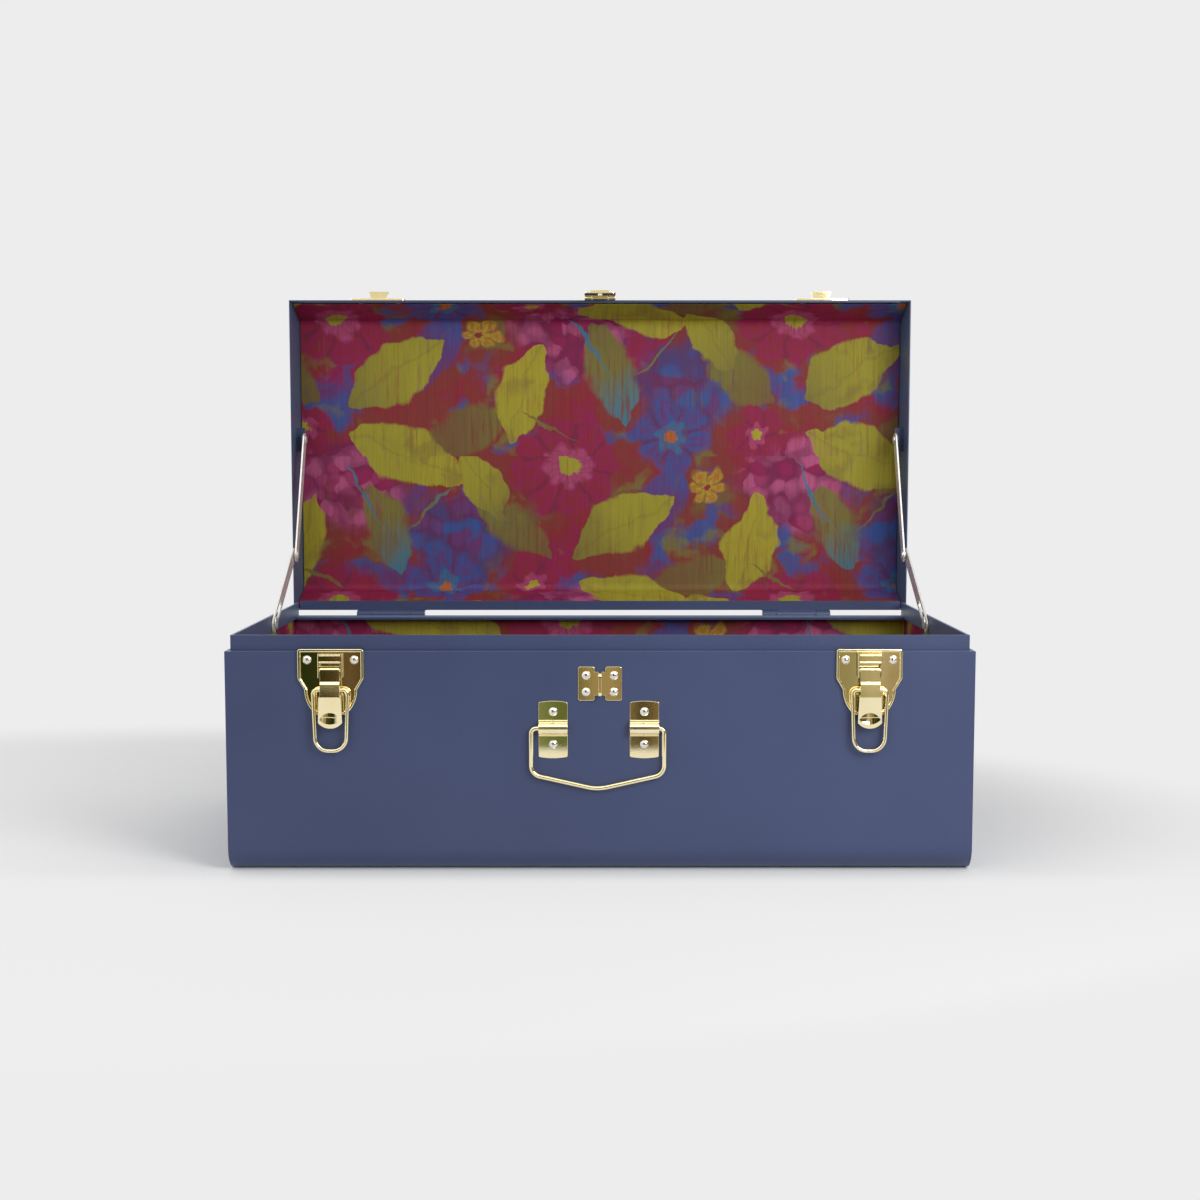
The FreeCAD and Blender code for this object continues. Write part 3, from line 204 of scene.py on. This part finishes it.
MUSTARD, SUN, OLIVE = srgb(158, 148, 38), srgb(168, 154, 36), srgb(120, 110, 46)
OLIVE_BROWN, RUST, RED_BROWN = srgb(116, 86, 46), srgb(176, 92, 34), srgb(132, 46, 42)
CRIMSON, MAGENTA, PINK = srgb(142, 28, 46), srgb(146, 14, 80), srgb(182, 80, 126)
VIOLET, PLUM = srgb(102, 50, 112), srgb(92, 22, 66)
BLUE, TEAL = srgb(48, 80, 150), srgb(40, 118, 150)

GROUND = ((0.34, MAGENTA), (0.43, CRIMSON), (0.5, RED_BROWN), (0.56, RED_BROWN), (0.66, OLIVE_BROWN))
COOL, COOL_FROM, COOL_SHARE = ((0.4, VIOLET), (0.55, BLUE)), (0.53, 0.62), (0.0, 0.9)
OLIVE_FROM, OLIVE_SHARE = (0.56, 0.68), (0.0, 0.8)

# How far the brush pulls the motifs out of shape: noise, and reach in metres
LOOSE, LOOSE_PULL = (26.0, 2.0, 0.5), 30.0 * MM
FRAYED, FRAYED_PULL = (80.0, 3.0, 0.6), 7.0 * MM
STREAK, STREAK_SHAPE, STREAK_PULL = (1.0, 2.0, 0.6), (620.0, 9.0, 1.0), 3.0 * MM
DRAG, DRAG_SHAPE = (1.0, 3.0, 0.65), (260.0, 16.0, 1.0)

# Noise that mottles the ground; patch and stain are read away from the wash
WASH = (13.0, 3.0, 0.6)
PATCH, PATCH_AT = (15.0, 3.0, 0.62), (3.1, 1.7, 0.0)
STAIN, STAIN_AT = (21.0, 3.0, 0.6), (7.7, 4.3, 0.0)

# Paper: a matt sheet with a fine fibre and a slow swell
FIBRE, FIBRE_SHAPE, FIBRE_BUMP = (1500.0, 2.0, 0.6), (1.0, 0.35, 1.0), (0.12, 0.3 * MM)
SWELL, SWELL_BUMP = (9.0, 2.0, 0.5), (0.25, 6.0 * MM)
STREAK_LIGHT, DRAG_LIGHT = (0.7, 0.85), (-0.05, 0.05)

# A leaf runs from -1 to 1 along and across; a bloom's edge is at 1 from its middle
LEAF_TIP, LEAF_LEAST_WIDTH, PAST_TIP = 0.985, 0.02, 2.0
LEAF_DRAG, LEAF_SHADES_OVER = 1.2, (0.5, 1.7)
SPINE_EDGE, SPINE_SHARE = (0.09, 0.02), (0.0, 0.22)
LEAF_STAIN_FROM, LEAF_STAIN_SHARE = (0.52, 0.66), (0.0, 0.4)
RAYS, RAY_LENGTH, RAY_SHADES_OVER = (2.1, 3.0, 0.65), 1.6, (0.38, 0.62)
FOLD_EDGE, FOLD_SHARE = (0.35, 0.05), (0.0, 0.5)
HALO_RING, HALO_SHARE = (0.52, 0.4), (0.0, 0.75)
HALO_GAPS, HALO_GAP_SHARE = (0.4, 0.6), (0.4, 1.0)
HEART_EDGE = (0.25, 0.19)
DAB_GAPS, DAB_GAP_SHARE, DAB_SMOOTH = (0.35, 0.7), (0.0, 0.5), 0.35

# How soft a motif's edge is, and how much paint is left where the brush ran dry
FULL = dict(soft=0.07, thin=0.68)
FAINT = dict(soft=0.22, thin=0.4)
STEM = dict(soft=0.5, thin=0.8)
BLOOM_THIN, HEAP_THIN, DRY_FROM = 0.6, 0.7, (0.56, 0.74)
HEAP_OUTLINE = dict(petals=7.0, depth=0.15, soft=0.22)


def motif_group():
    """One motif on the half-drop repeat: its mask, and the place within the motif."""
    tree = bpy.data.node_groups.new("print_motif", "ShaderNodeTree")
    number, vector = "NodeSocketFloat", "NodeSocketVector"
    inputs = (("Place", vector), ("Centre", vector), ("Turn", number), ("Size", vector),
              ("Petals", number), ("Depth", number), ("Point", number), ("Soft", number))
    outputs = (("Mask", number), ("Reach", number), ("Local", vector), ("Angle", number))
    for sockets, way in ((inputs, "INPUT"), (outputs, "OUTPUT")):
        for label, kind in sockets:
            tree.interface.new_socket(label, in_out=way, socket_type=kind)
    net = Net(tree)
    given = net.node("NodeGroupInput").outputs
    out = net.node("NodeGroupOutput").inputs

    off = net.split(net.vec("SUBTRACT", given["Place"], given["Centre"]))
    column = net.math("ROUND", net.math("DIVIDE", off[0], REPEAT_X))
    x = net.math("SUBTRACT", off[0], net.math("MULTIPLY", column, REPEAT_X))
    y = net.math("SUBTRACT", off[1], net.math("MULTIPLY", column, COLUMN_DROP))
    y = net.math("WRAP", y, REPEAT_Y * 0.5, REPEAT_Y * -0.5)
    spin = net.node("ShaderNodeVectorRotate", rotation_type="Z_AXIS")
    net.feed(spin.inputs["Vector"], net.join(x, y))
    net.feed(spin.inputs["Angle"], given["Turn"])
    local = net.vec("DIVIDE", spin.outputs[0], given["Size"])
    lx, ly, _ = net.split(local)
    angle = net.math("ARCTAN2", ly, lx)

    # A bloom's outline swells once per petal; a leaf's comes to a point at both ends
    fan = net.math("MULTIPLY", angle, net.math("MULTIPLY", given["Petals"], 0.5))
    swell = net.math("ABSOLUTE", net.math("SINE", fan))
    dip = net.math("MULTIPLY", given["Depth"], net.math("SUBTRACT", 1.0, swell))
    bloom_reach = net.math("DIVIDE", net.length(local), net.math("SUBTRACT", 1.0, dip))
    along = net.math("ABSOLUTE", lx)
    bend = net.math("SUBTRACT", 1.0, net.math("MULTIPLY", along, along))
    across = net.math("DIVIDE", net.math("ABSOLUTE", ly), net.math("MAXIMUM", bend, LEAF_LEAST_WIDTH))
    past_tip = net.math("MULTIPLY", net.math("GREATER_THAN", along, LEAF_TIP), PAST_TIP)
    reach = net.node("ShaderNodeMix", data_type="FLOAT")
    net.feed(reach.inputs[0], given["Point"])
    net.feed(reach.inputs[2], bloom_reach)
    net.feed(reach.inputs[3], net.math("ADD", across, past_tip))

    outside = net.math("ADD", 1.0, given["Soft"])
    inside = net.math("SUBTRACT", 1.0, given["Soft"])
    net.feed(out["Mask"], net.span(reach.outputs[0], (outside, inside), smooth=True))
    net.feed(out["Reach"], reach.outputs[0])
    net.feed(out["Local"], local)
    net.feed(out["Angle"], angle)
    return tree


class Print:
    """Brushes motifs one over another on a mottled red ground. Places and sizes are in millimetres."""

    def __init__(self, net, flat):
        self.net = net
        half = (0.5, 0.5, 0.5)
        loose = net.vec("SUBTRACT", net.noise(flat, *LOOSE, colour=True), half)
        frayed = net.vec("SUBTRACT", net.noise(flat, *FRAYED, colour=True), half)
        self.streak = net.noise(net.vec("MULTIPLY", flat, STREAK_SHAPE), *STREAK)
        self.drag = net.noise(net.vec("MULTIPLY", flat, DRAG_SHAPE), *DRAG)
        pull = net.math("MULTIPLY", net.math("SUBTRACT", self.streak, 0.5), STREAK_PULL)
        place = net.vec("ADD", flat, net.vec("SCALE", loose, scale=LOOSE_PULL))
        place = net.vec("ADD", place, net.vec("SCALE", frayed, scale=FRAYED_PULL))
        self.place = net.vec("ADD", place, net.join(0.0, pull))
        self.patch = net.noise(net.vec("ADD", self.place, PATCH_AT), *PATCH)
        self.stain = net.noise(net.vec("ADD", self.place, STAIN_AT), *STAIN)
        self.colour = net.ramp(net.noise(self.place, *WASH), GROUND)
        self.over(net.span(self.patch, COOL_FROM, COOL_SHARE, True), net.ramp(self.stain, COOL))
        self.over(net.span(self.stain, OLIVE_FROM, OLIVE_SHARE, True), OLIVE)

    def over(self, mask, tone):
        self.colour = self.net.mix(mask, self.colour, tone)

    def lay(self, mask, thin, tone):
        """Lays a tone with paint missing along the drag of the brush."""
        net = self.net
        dry = net.math("ADD", self.drag, net.math("MULTIPLY", self.patch, 0.5))
        worn = net.span(dry, DRY_FROM, (thin, 1.0), True)
        self.over(net.math("MULTIPLY", mask, worn), tone)

    def motif(self, centre, turn, size, soft, petals=0.0, depth=0.0, point=0.0):
        made = self.net.node("ShaderNodeGroup", node_tree=MOTIF)
        self.net.feed(made.inputs["Place"], self.place)
        settings = {"Centre": (centre[0] * MM, centre[1] * MM, 0.0), "Turn": math.radians(turn),
                    "Size": (size[0] * MM, size[1] * MM, 1.0), "Petals": petals, "Depth": depth,
                    "Point": point, "Soft": soft}
        for label, value in settings.items():
            made.inputs[label].default_value = value
        return made.outputs

    def leaf(self, centre, turn, size, shade, tip, soft, thin):
        net = self.net
        made = self.motif(centre, turn, size, point=1.0, soft=soft)
        along, across, _ = net.split(made["Local"])
        way = net.math("ADD", along, net.math("MULTIPLY", self.drag, LEAF_DRAG))
        tone = net.mix(net.span(way, LEAF_SHADES_OVER), shade, tip)
        spine = net.span(net.math("ABSOLUTE", across), SPINE_EDGE, SPINE_SHARE, True)
        tone = net.mix(spine, tone, OLIVE_BROWN)
        stain = net.span(self.stain, LEAF_STAIN_FROM, LEAF_STAIN_SHARE, True)
        self.lay(made["Mask"], thin, net.mix(stain, tone, OLIVE_BROWN))

    def bloom(self, centre, turn, size, petals, depth, shades, ring, heart, soft=0.08):
        """Round flower: rays of two shades, dark folds between petals, a broken ring and a heart."""
        net = self.net
        made = self.motif(centre, turn, size, petals=petals, depth=depth, soft=soft)
        fan = net.math("SINE", net.math("MULTIPLY", made["Angle"], petals * 0.5))
        rays = net.noise(net.join(fan, net.math("MULTIPLY", made["Reach"], RAY_LENGTH)), *RAYS)
        tone = net.mix(net.span(rays, RAY_SHADES_OVER), *shades)
        fold = net.span(net.math("ABSOLUTE", fan), FOLD_EDGE, FOLD_SHARE, True)
        tone = net.mix(fold, tone, PLUM)
        halo = net.span(made["Reach"], HALO_RING, HALO_SHARE, True)
        halo = net.math("MULTIPLY", halo, net.span(rays, HALO_GAPS, HALO_GAP_SHARE))
        tone = net.mix(halo, tone, ring)
        tone = net.mix(net.span(made["Reach"], HEART_EDGE, smooth=True), tone, heart)
        self.lay(made["Mask"], BLOOM_THIN, tone)

    def heap(self, centre, size, shades, fine):
        """Soft heap of small round dabs."""
        net = self.net
        made = self.motif(centre, 0.0, size, **HEAP_OUTLINE)
        cells = net.node("ShaderNodeTexVoronoi", feature="SMOOTH_F1")
        net.feed(cells.inputs["Vector"], net.vec("MULTIPLY", self.place, (1.0, 1.0, 0.0)))
        cells.inputs["Scale"].default_value = fine
        cells.inputs["Smoothness"].default_value = DAB_SMOOTH
        pick, _, _ = net.split(cells.outputs["Color"])
        tone = net.mix(net.span(pick, NOISE_SPREAD), *shades)
        gaps = net.span(cells.outputs["Distance"], DAB_GAPS, DAB_GAP_SHARE, True)
        self.lay(made["Mask"], HEAP_THIN, net.mix(gaps, tone, PLUM))

    def fill(self):
        """One repeat of the print, from the lowest layer up."""
        self.heap((66, 222), (60, 50), (MAGENTA, PINK), 66.0)
        self.heap((182, 166), (54, 46), (BLUE, VIOLET), 58.0)
        self.leaf((108, 176), 70, (50, 22), OLIVE, TEAL, **FAINT)
        self.leaf((186, 276), -24, (52, 21), OLIVE_BROWN, OLIVE, **FAINT)
        self.leaf((8, 20), 40, (48, 22), OLIVE, OLIVE_BROWN, **FAINT)
        self.leaf((158, 46), -60, (46, 22), VIOLET, BLUE, soft=0.2, thin=0.5)
        self.bloom((62, 82), 10, (56, 53), 8.0, 0.12, (CRIMSON, MAGENTA), PINK, MUSTARD)
        self.bloom((168, 116), -14, (40, 38), 6.0, 0.22, (VIOLET, BLUE), TEAL, RUST, 0.14)
        self.leaf((130, 250), 22, (64, 31), MUSTARD, SUN, **FULL)
        self.leaf((118, 24), 148, (58, 28), MUSTARD, OLIVE, **FULL)
        self.leaf((20, 158), 104, (52, 26), SUN, MUSTARD, **FULL)
        self.leaf((206, 218), 60, (42, 20), MUSTARD, OLIVE, **FULL)
        self.leaf((88, 206), 62, (44, 1.7), TEAL, OLIVE, **STEM)
        self.leaf((152, 196), -48, (34, 1.5), OLIVE, TEAL, **STEM)
        self.leaf((44, 126), 28, (30, 1.5), OLIVE, OLIVE_BROWN, **STEM)
        self.bloom((26, 274), 4, (30, 28), 5.0, 0.3, (MAGENTA, CRIMSON), PINK, SUN, 0.12)
        self.bloom((204, 62), 30, (20, 18), 6.0, 0.3, (RUST, SUN), SUN, CRIMSON, 0.14)
        return self.colour


def lining(name, place_of):
    """Printed lining sheet; the brush's streaks and drag also lighten and darken it."""
    material, net, shader, p = surface(name, Roughness=0.7, IOR=1.4)
    flat = place_of(net, p)
    sheet = Print(net, flat)
    colour = sheet.fill()
    light = net.math("ADD", net.span(sheet.streak, NOISE_SPREAD, STREAK_LIGHT),
                     net.span(sheet.drag, NOISE_SPREAD, DRAG_LIGHT))
    net.feed(shader.inputs["Base Color"], net.vec("MULTIPLY", colour, net.join(light, light, light)))
    swell = net.bump(net.noise(flat, *SWELL), *SWELL_BUMP)
    fibre = net.noise(net.vec("MULTIPLY", flat, FIBRE_SHAPE), *FIBRE)
    net.feed(shader.inputs["Normal"], net.bump(fibre, *FIBRE_BUMP, swell))
    return material


# Places on the flat sheets are shifted so that they stay above 0
SHEET_SHIFT = 1.0
END_SHIFT = (1.297, 1.147)
LID_PANEL_Y = 0.205
LID_MIDDLE_Z = 0.3338


def lid_place(net, p):
    """Unrolls the lid's lining: along the trunk, and round from the rim over the panel."""
    x, y, z = net.split(p)
    side = net.math("SIGN", net.math("SUBTRACT", z, LID_MIDDLE_Z))
    lift = net.math("MULTIPLY", side, net.math("SUBTRACT", LID_PANEL_Y, y))
    return net.join(net.math("ADD", x, SHEET_SHIFT), net.math("ADD", net.math("ADD", z, lift), SHEET_SHIFT))


def body_place(net, p):
    """Unrolls the body's lining sheet: down the front, over the bottom, up the back."""
    x, y, z = net.split(p)
    lift = net.math("MULTIPLY", z, net.math("SIGN", y))
    return net.join(net.math("ADD", x, SHEET_SHIFT), net.math("ADD", net.math("ADD", y, lift), SHEET_SHIFT))


def end_place(net, p):
    """The body's side linings are flat: depth and height."""
    _, y, z = net.split(p)
    return net.join(net.math("ADD", y, END_SHIFT[0]), net.math("ADD", z, END_SHIFT[1]))


MOTIF = motif_group()
PAINT = blue_paint()
BRASS = plated("brass_plate", tint=(1.0, 0.9, 0.6), dark=(0.97, 0.84, 0.5), rough=0.035)
NICKEL = plated("nickel_rivet", tint=(0.84, 0.83, 0.81), dark=(0.74, 0.73, 0.71), rough=0.09)
STAY = plated("bright_stay", tint=(0.87, 0.855, 0.82), dark=(0.75, 0.73, 0.69), rough=0.25,
              brushed=True, metallic=0.45)
LID_PRINT = lining("lining_lid", lid_place)
BODY_PRINT = lining("lining_body", body_place)
END_PRINT = lining("lining_ends", end_place)

# The first start that fits a node's name gives its material
BY_START = (
    ("body_lining_wrap", BODY_PRINT), ("body_lining", END_PRINT), ("lid_lining", LID_PRINT),
    ("latch_rivets", NICKEL), ("catch_rivets", NICKEL), ("staple_rivets", NICKEL),
    ("handle_rivets", NICKEL), ("hasp_rivets", NICKEL), ("stay_bracket", PAINT), ("stay_", STAY),
    ("latch", BRASS), ("catch", BRASS), ("staple", BRASS), ("hasp", BRASS), ("handle", BRASS),
    ("", PAINT),
)
for name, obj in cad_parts.items():
    made = next(material for start, material in BY_START if name.startswith(start))
    obj.data.materials.clear()
    obj.data.materials.append(made)

# ------------------------------------------------------------- floor and world

PALE = srgb(237, 237, 237)
FLOOR_HALF = 14.0
# The floor's tone is painted light at the left, where the trunk's shadow falls, and painted shade at the
# right, under the key lamp, to even the floor out
FLOOR_LEFT_PAINTED_LIGHT, FLOOR_MIDDLE, FLOOR_RIGHT_PAINTED_SHADE = srgb(244, 244, 244), srgb(225, 225, 225), srgb(215, 215, 215)
FLOOR_GRAIN, FLOOR_GRAIN_TONE, FLOOR_GRAIN_SHARE = (30.0, 2.0, 0.5), srgb(224, 224, 224), (0.0, 0.04)
LEFT_TO_MIDDLE, MIDDLE_TO_RIGHT = (-0.5, 0.05), (-0.05, 0.4)

# The floor keeps its shadow within an oval round the trunk, and little of it before the front
SHADOW_SHIFT = (0.35, 0.0, 0.0)
SHADOW_SHAPE = (0.95, 1.6, 1.0)
SHADOW_FADE = (0.7, 1.0)
FRONT_FADE = (-0.148, -0.19)
FRONT_CLEARED = 0.78

# Polished metal sees the floor only as far as here, and the room beyond
MIRRORED_FLOOR_END = (-0.711, -0.719)

SKY_LEVEL = 0.84
SKY_UP = ((-0.1, 0.9), (0.8, 0.95))
SKY_RIGHT = ((-1.0, 1.0), (1.0, 1.04))
ROOM_PATCH, ROOM_PATCH_SHAPE, ROOM_PATCH_DEPTH = (17.0, 2.0, 0.5), (1.0, 1.0, 0.6), 0.015
ROOM_FROM = (-0.15, -0.4)
ROOM_WIDTH = (-0.5, 0.5)

# What stands in the room behind the camera, from left to right: place in its width, and light
ROOM = (
    (0.0, (0.9, 0.9, 0.86)), (0.16, (0.02, 0.03, 0.008)), (0.335, (0.018, 0.03, 0.006)),
    (0.342, (0.05, 0.03, 0.014)), (0.3465, (0.07, 0.04, 0.018)), (0.35, (0.28, 0.18, 0.09)),
    (0.357, (0.035, 0.03, 0.012)), (0.44, (0.035, 0.03, 0.012)), (0.461, (0.3, 0.3, 0.13)),
    (0.467, (0.1, 0.15, 0.045)), (0.479, (0.12, 0.16, 0.05)), (0.486, (0.1, 0.07, 0.03)),
    (0.492, (0.36, 0.28, 0.14)), (0.513, (0.34, 0.26, 0.13)), (0.518, (0.03, 0.03, 0.012)),
    (0.53, (0.02, 0.013, 0.007)), (0.534, (0.34, 0.24, 0.12)), (0.6, (0.34, 0.28, 0.15)),
    (0.648, (0.27, 0.24, 0.12)), (0.658, (0.34, 0.3, 0.17)), (0.661, (0.6, 0.53, 0.36)),
    (0.668, (0.5, 0.44, 0.3)), (0.671, (0.18, 0.12, 0.06)), (0.678, (0.3, 0.23, 0.13)),
    (0.69, (0.62, 0.56, 0.42)), (0.86, (0.12, 0.1, 0.07)),
)
ROOM_FLOOR, ROOM_FLOOR_FADE, ROOM_FLOOR_SHARE = (0.03, 0.026, 0.016), (-0.24, -0.42), (0.0, 0.85)
DARK_MIDDLE, DARK_MIDDLE_HALF, DARK_MIDDLE_FROM = (0.012, 0.011, 0.008), (0.03, 0.045), (0.1, 0.12)
LIGHT_STRIP, STRIP_LOW, STRIP_HIGH = (0.8, 0.76, 0.62), (0.06, 0.068), (0.098, 0.106)
CEILING, CEILING_FROM = (1.7, 1.66, 1.55), (0.48, 0.6)
FLANK_LEFT, FLANK_RIGHT, FLANK_FADE = (1.25, 1.23, 1.18), (0.4, 0.39, 0.35), (-0.3, 0.4)


def floor():
    """Pale floor that fades into the backdrop's tone away from the trunk."""
    mesh = bpy.data.meshes.new("floor")
    s = FLOOR_HALF
    mesh.from_pydata([(-s, -s, 0), (s, -s, 0), (s, s, 0), (-s, s, 0)], [], [(0, 1, 2, 3)])
    obj = bpy.data.objects.new("floor", mesh)
    bpy.context.collection.objects.link(obj)
    material, net, shader, p = surface("floor_paper", Roughness=0.9, Specular_IOR_Level=0.0)
    x, y, _ = net.split(p)
    # Painted light at the left and painted shade at the right, against how the key lamp lights the floor
    tone = net.mix(net.span(x, LEFT_TO_MIDDLE, smooth=True), FLOOR_LEFT_PAINTED_LIGHT, FLOOR_MIDDLE)
    tone = net.mix(net.span(x, MIDDLE_TO_RIGHT, smooth=True), tone, FLOOR_RIGHT_PAINTED_SHADE)
    grain = net.span(net.noise(p, *FLOOR_GRAIN), NOISE_SPREAD, FLOOR_GRAIN_SHARE)
    net.feed(shader.inputs["Base Color"], net.mix(grain, tone, FLOOR_GRAIN_TONE))
    glow = net.node("ShaderNodeEmission")
    glow.inputs["Color"].default_value = (*PALE, 1.0)

    away = net.length(net.vec("MULTIPLY", net.vec("ADD", p, SHADOW_SHIFT), SHADOW_SHAPE))
    far = net.math("MAXIMUM", net.span(away, SHADOW_FADE, smooth=True),
                   net.span(y, FRONT_FADE, (0.0, FRONT_CLEARED), True))
    rays = net.node("ShaderNodeLightPath").outputs
    pale = net.math("MAXIMUM", rays["Is Camera Ray"], rays["Is Glossy Ray"])
    seen = net.mix_shader(net.math("MULTIPLY", far, pale), shader.outputs[0], glow.outputs[0])
    past_end = net.math("MULTIPLY", net.span(y, MIRRORED_FLOOR_END), rays["Is Glossy Ray"])
    clear = net.node("ShaderNodeBsdfTransparent").outputs[0]
    end = material.node_tree.nodes["Material Output"]
    net.feed(end.inputs["Surface"], net.mix_shader(past_end, seen, clear))
    mesh.materials.append(material)


def sky():
    """Pale surround; behind the camera, polished metal sees a dim room with large soft lights above."""
    world = bpy.data.worlds.new("studio")
    bpy.context.scene.world = world
    world.use_nodes = True
    net = Net(world.node_tree)
    back = world.node_tree.nodes["Background"]
    way = net.node("ShaderNodeTexCoord").outputs["Generated"]
    x, y, z = net.split(way)
    graded = net.math("MULTIPLY", net.span(z, *SKY_UP), net.span(x, *SKY_RIGHT))
    soft = net.math("MULTIPLY", graded, SKY_LEVEL)

    patch = net.noise(net.vec("MULTIPLY", way, ROOM_PATCH_SHAPE), *ROOM_PATCH)
    shift = net.math("MULTIPLY", net.math("SUBTRACT", patch, 0.5), ROOM_PATCH_DEPTH)
    room = net.ramp(net.span(net.math("ADD", x, shift), ROOM_WIDTH), ROOM)
    room = net.mix(net.span(z, ROOM_FLOOR_FADE, ROOM_FLOOR_SHARE, True), room, ROOM_FLOOR)
    middle = net.span(net.math("ABSOLUTE", x), DARK_MIDDLE_HALF, (1.0, 0.0))
    room = net.mix(net.math("MULTIPLY", net.span(z, DARK_MIDDLE_FROM), middle), room, DARK_MIDDLE)
    strip = net.math("MULTIPLY", net.span(z, STRIP_LOW), net.span(z, STRIP_HIGH, (1.0, 0.0)))
    room = net.mix(strip, room, LIGHT_STRIP)
    room = net.mix(net.span(z, CEILING_FROM, smooth=True), room, CEILING)

    flank = net.mix(net.span(x, FLANK_FADE, smooth=True), FLANK_LEFT, FLANK_RIGHT)
    gloss = net.mix(net.span(y, ROOM_FROM, smooth=True), flank, room)
    rays = net.node("ShaderNodeLightPath").outputs
    tone = net.mix(rays["Is Glossy Ray"], net.join(soft, soft, soft), gloss)
    net.feed(back.inputs["Color"], net.mix(rays["Is Camera Ray"], tone, PALE))
    back.inputs["Strength"].default_value = 1.0


# ------------------------------------------------------------ lamps and camera

# The photo solved as a perspective view: focal length in its pixels, place and tilt
PICTURE_PX = 1200.0
FOCAL_PX = 1667.0
SENSOR_MM = 36.0
CAMERA_PLACE = (0.0, -1.4718, 0.3359)
CAMERA_TILT = math.radians(85.0)


def lamp(name, place, aim, size, power, mirrored):
    """Soft rectangular lamp; power in watts."""
    data = bpy.data.lights.new(name, "AREA")
    data.shape = "RECTANGLE"
    data.size, data.size_y = size
    data.energy = power
    obj = bpy.data.objects.new(name, data)
    obj.location = place
    obj.rotation_mode = "QUATERNION"
    obj.rotation_quaternion = (Vector(aim) - Vector(place)).to_track_quat("-Z", "Y")
    obj.visible_glossy = mirrored
    bpy.context.collection.objects.link(obj)


def camera():
    data = bpy.data.cameras.new("camera")
    data.sensor_width = SENSOR_MM
    data.lens = SENSOR_MM * FOCAL_PX / PICTURE_PX
    obj = bpy.data.objects.new("camera", data)
    obj.location = CAMERA_PLACE
    obj.rotation_euler = (CAMERA_TILT, 0.0, 0.0)
    bpy.context.collection.objects.link(obj)
    bpy.context.scene.camera = obj


floor()
sky()
lamp("key", place=(0.66, -0.9, 0.66), aim=(0.3, 0.0, 0.15), size=(0.6, 0.6), power=8.5, mirrored=True)
lamp("fill", place=(-1.3, -2.0, 1.0), aim=(0.0, 0.0, 0.25), size=(1.6, 1.4), power=5.5, mirrored=False)
camera()
bpy.context.scene.view_settings.view_transform = "Standard"
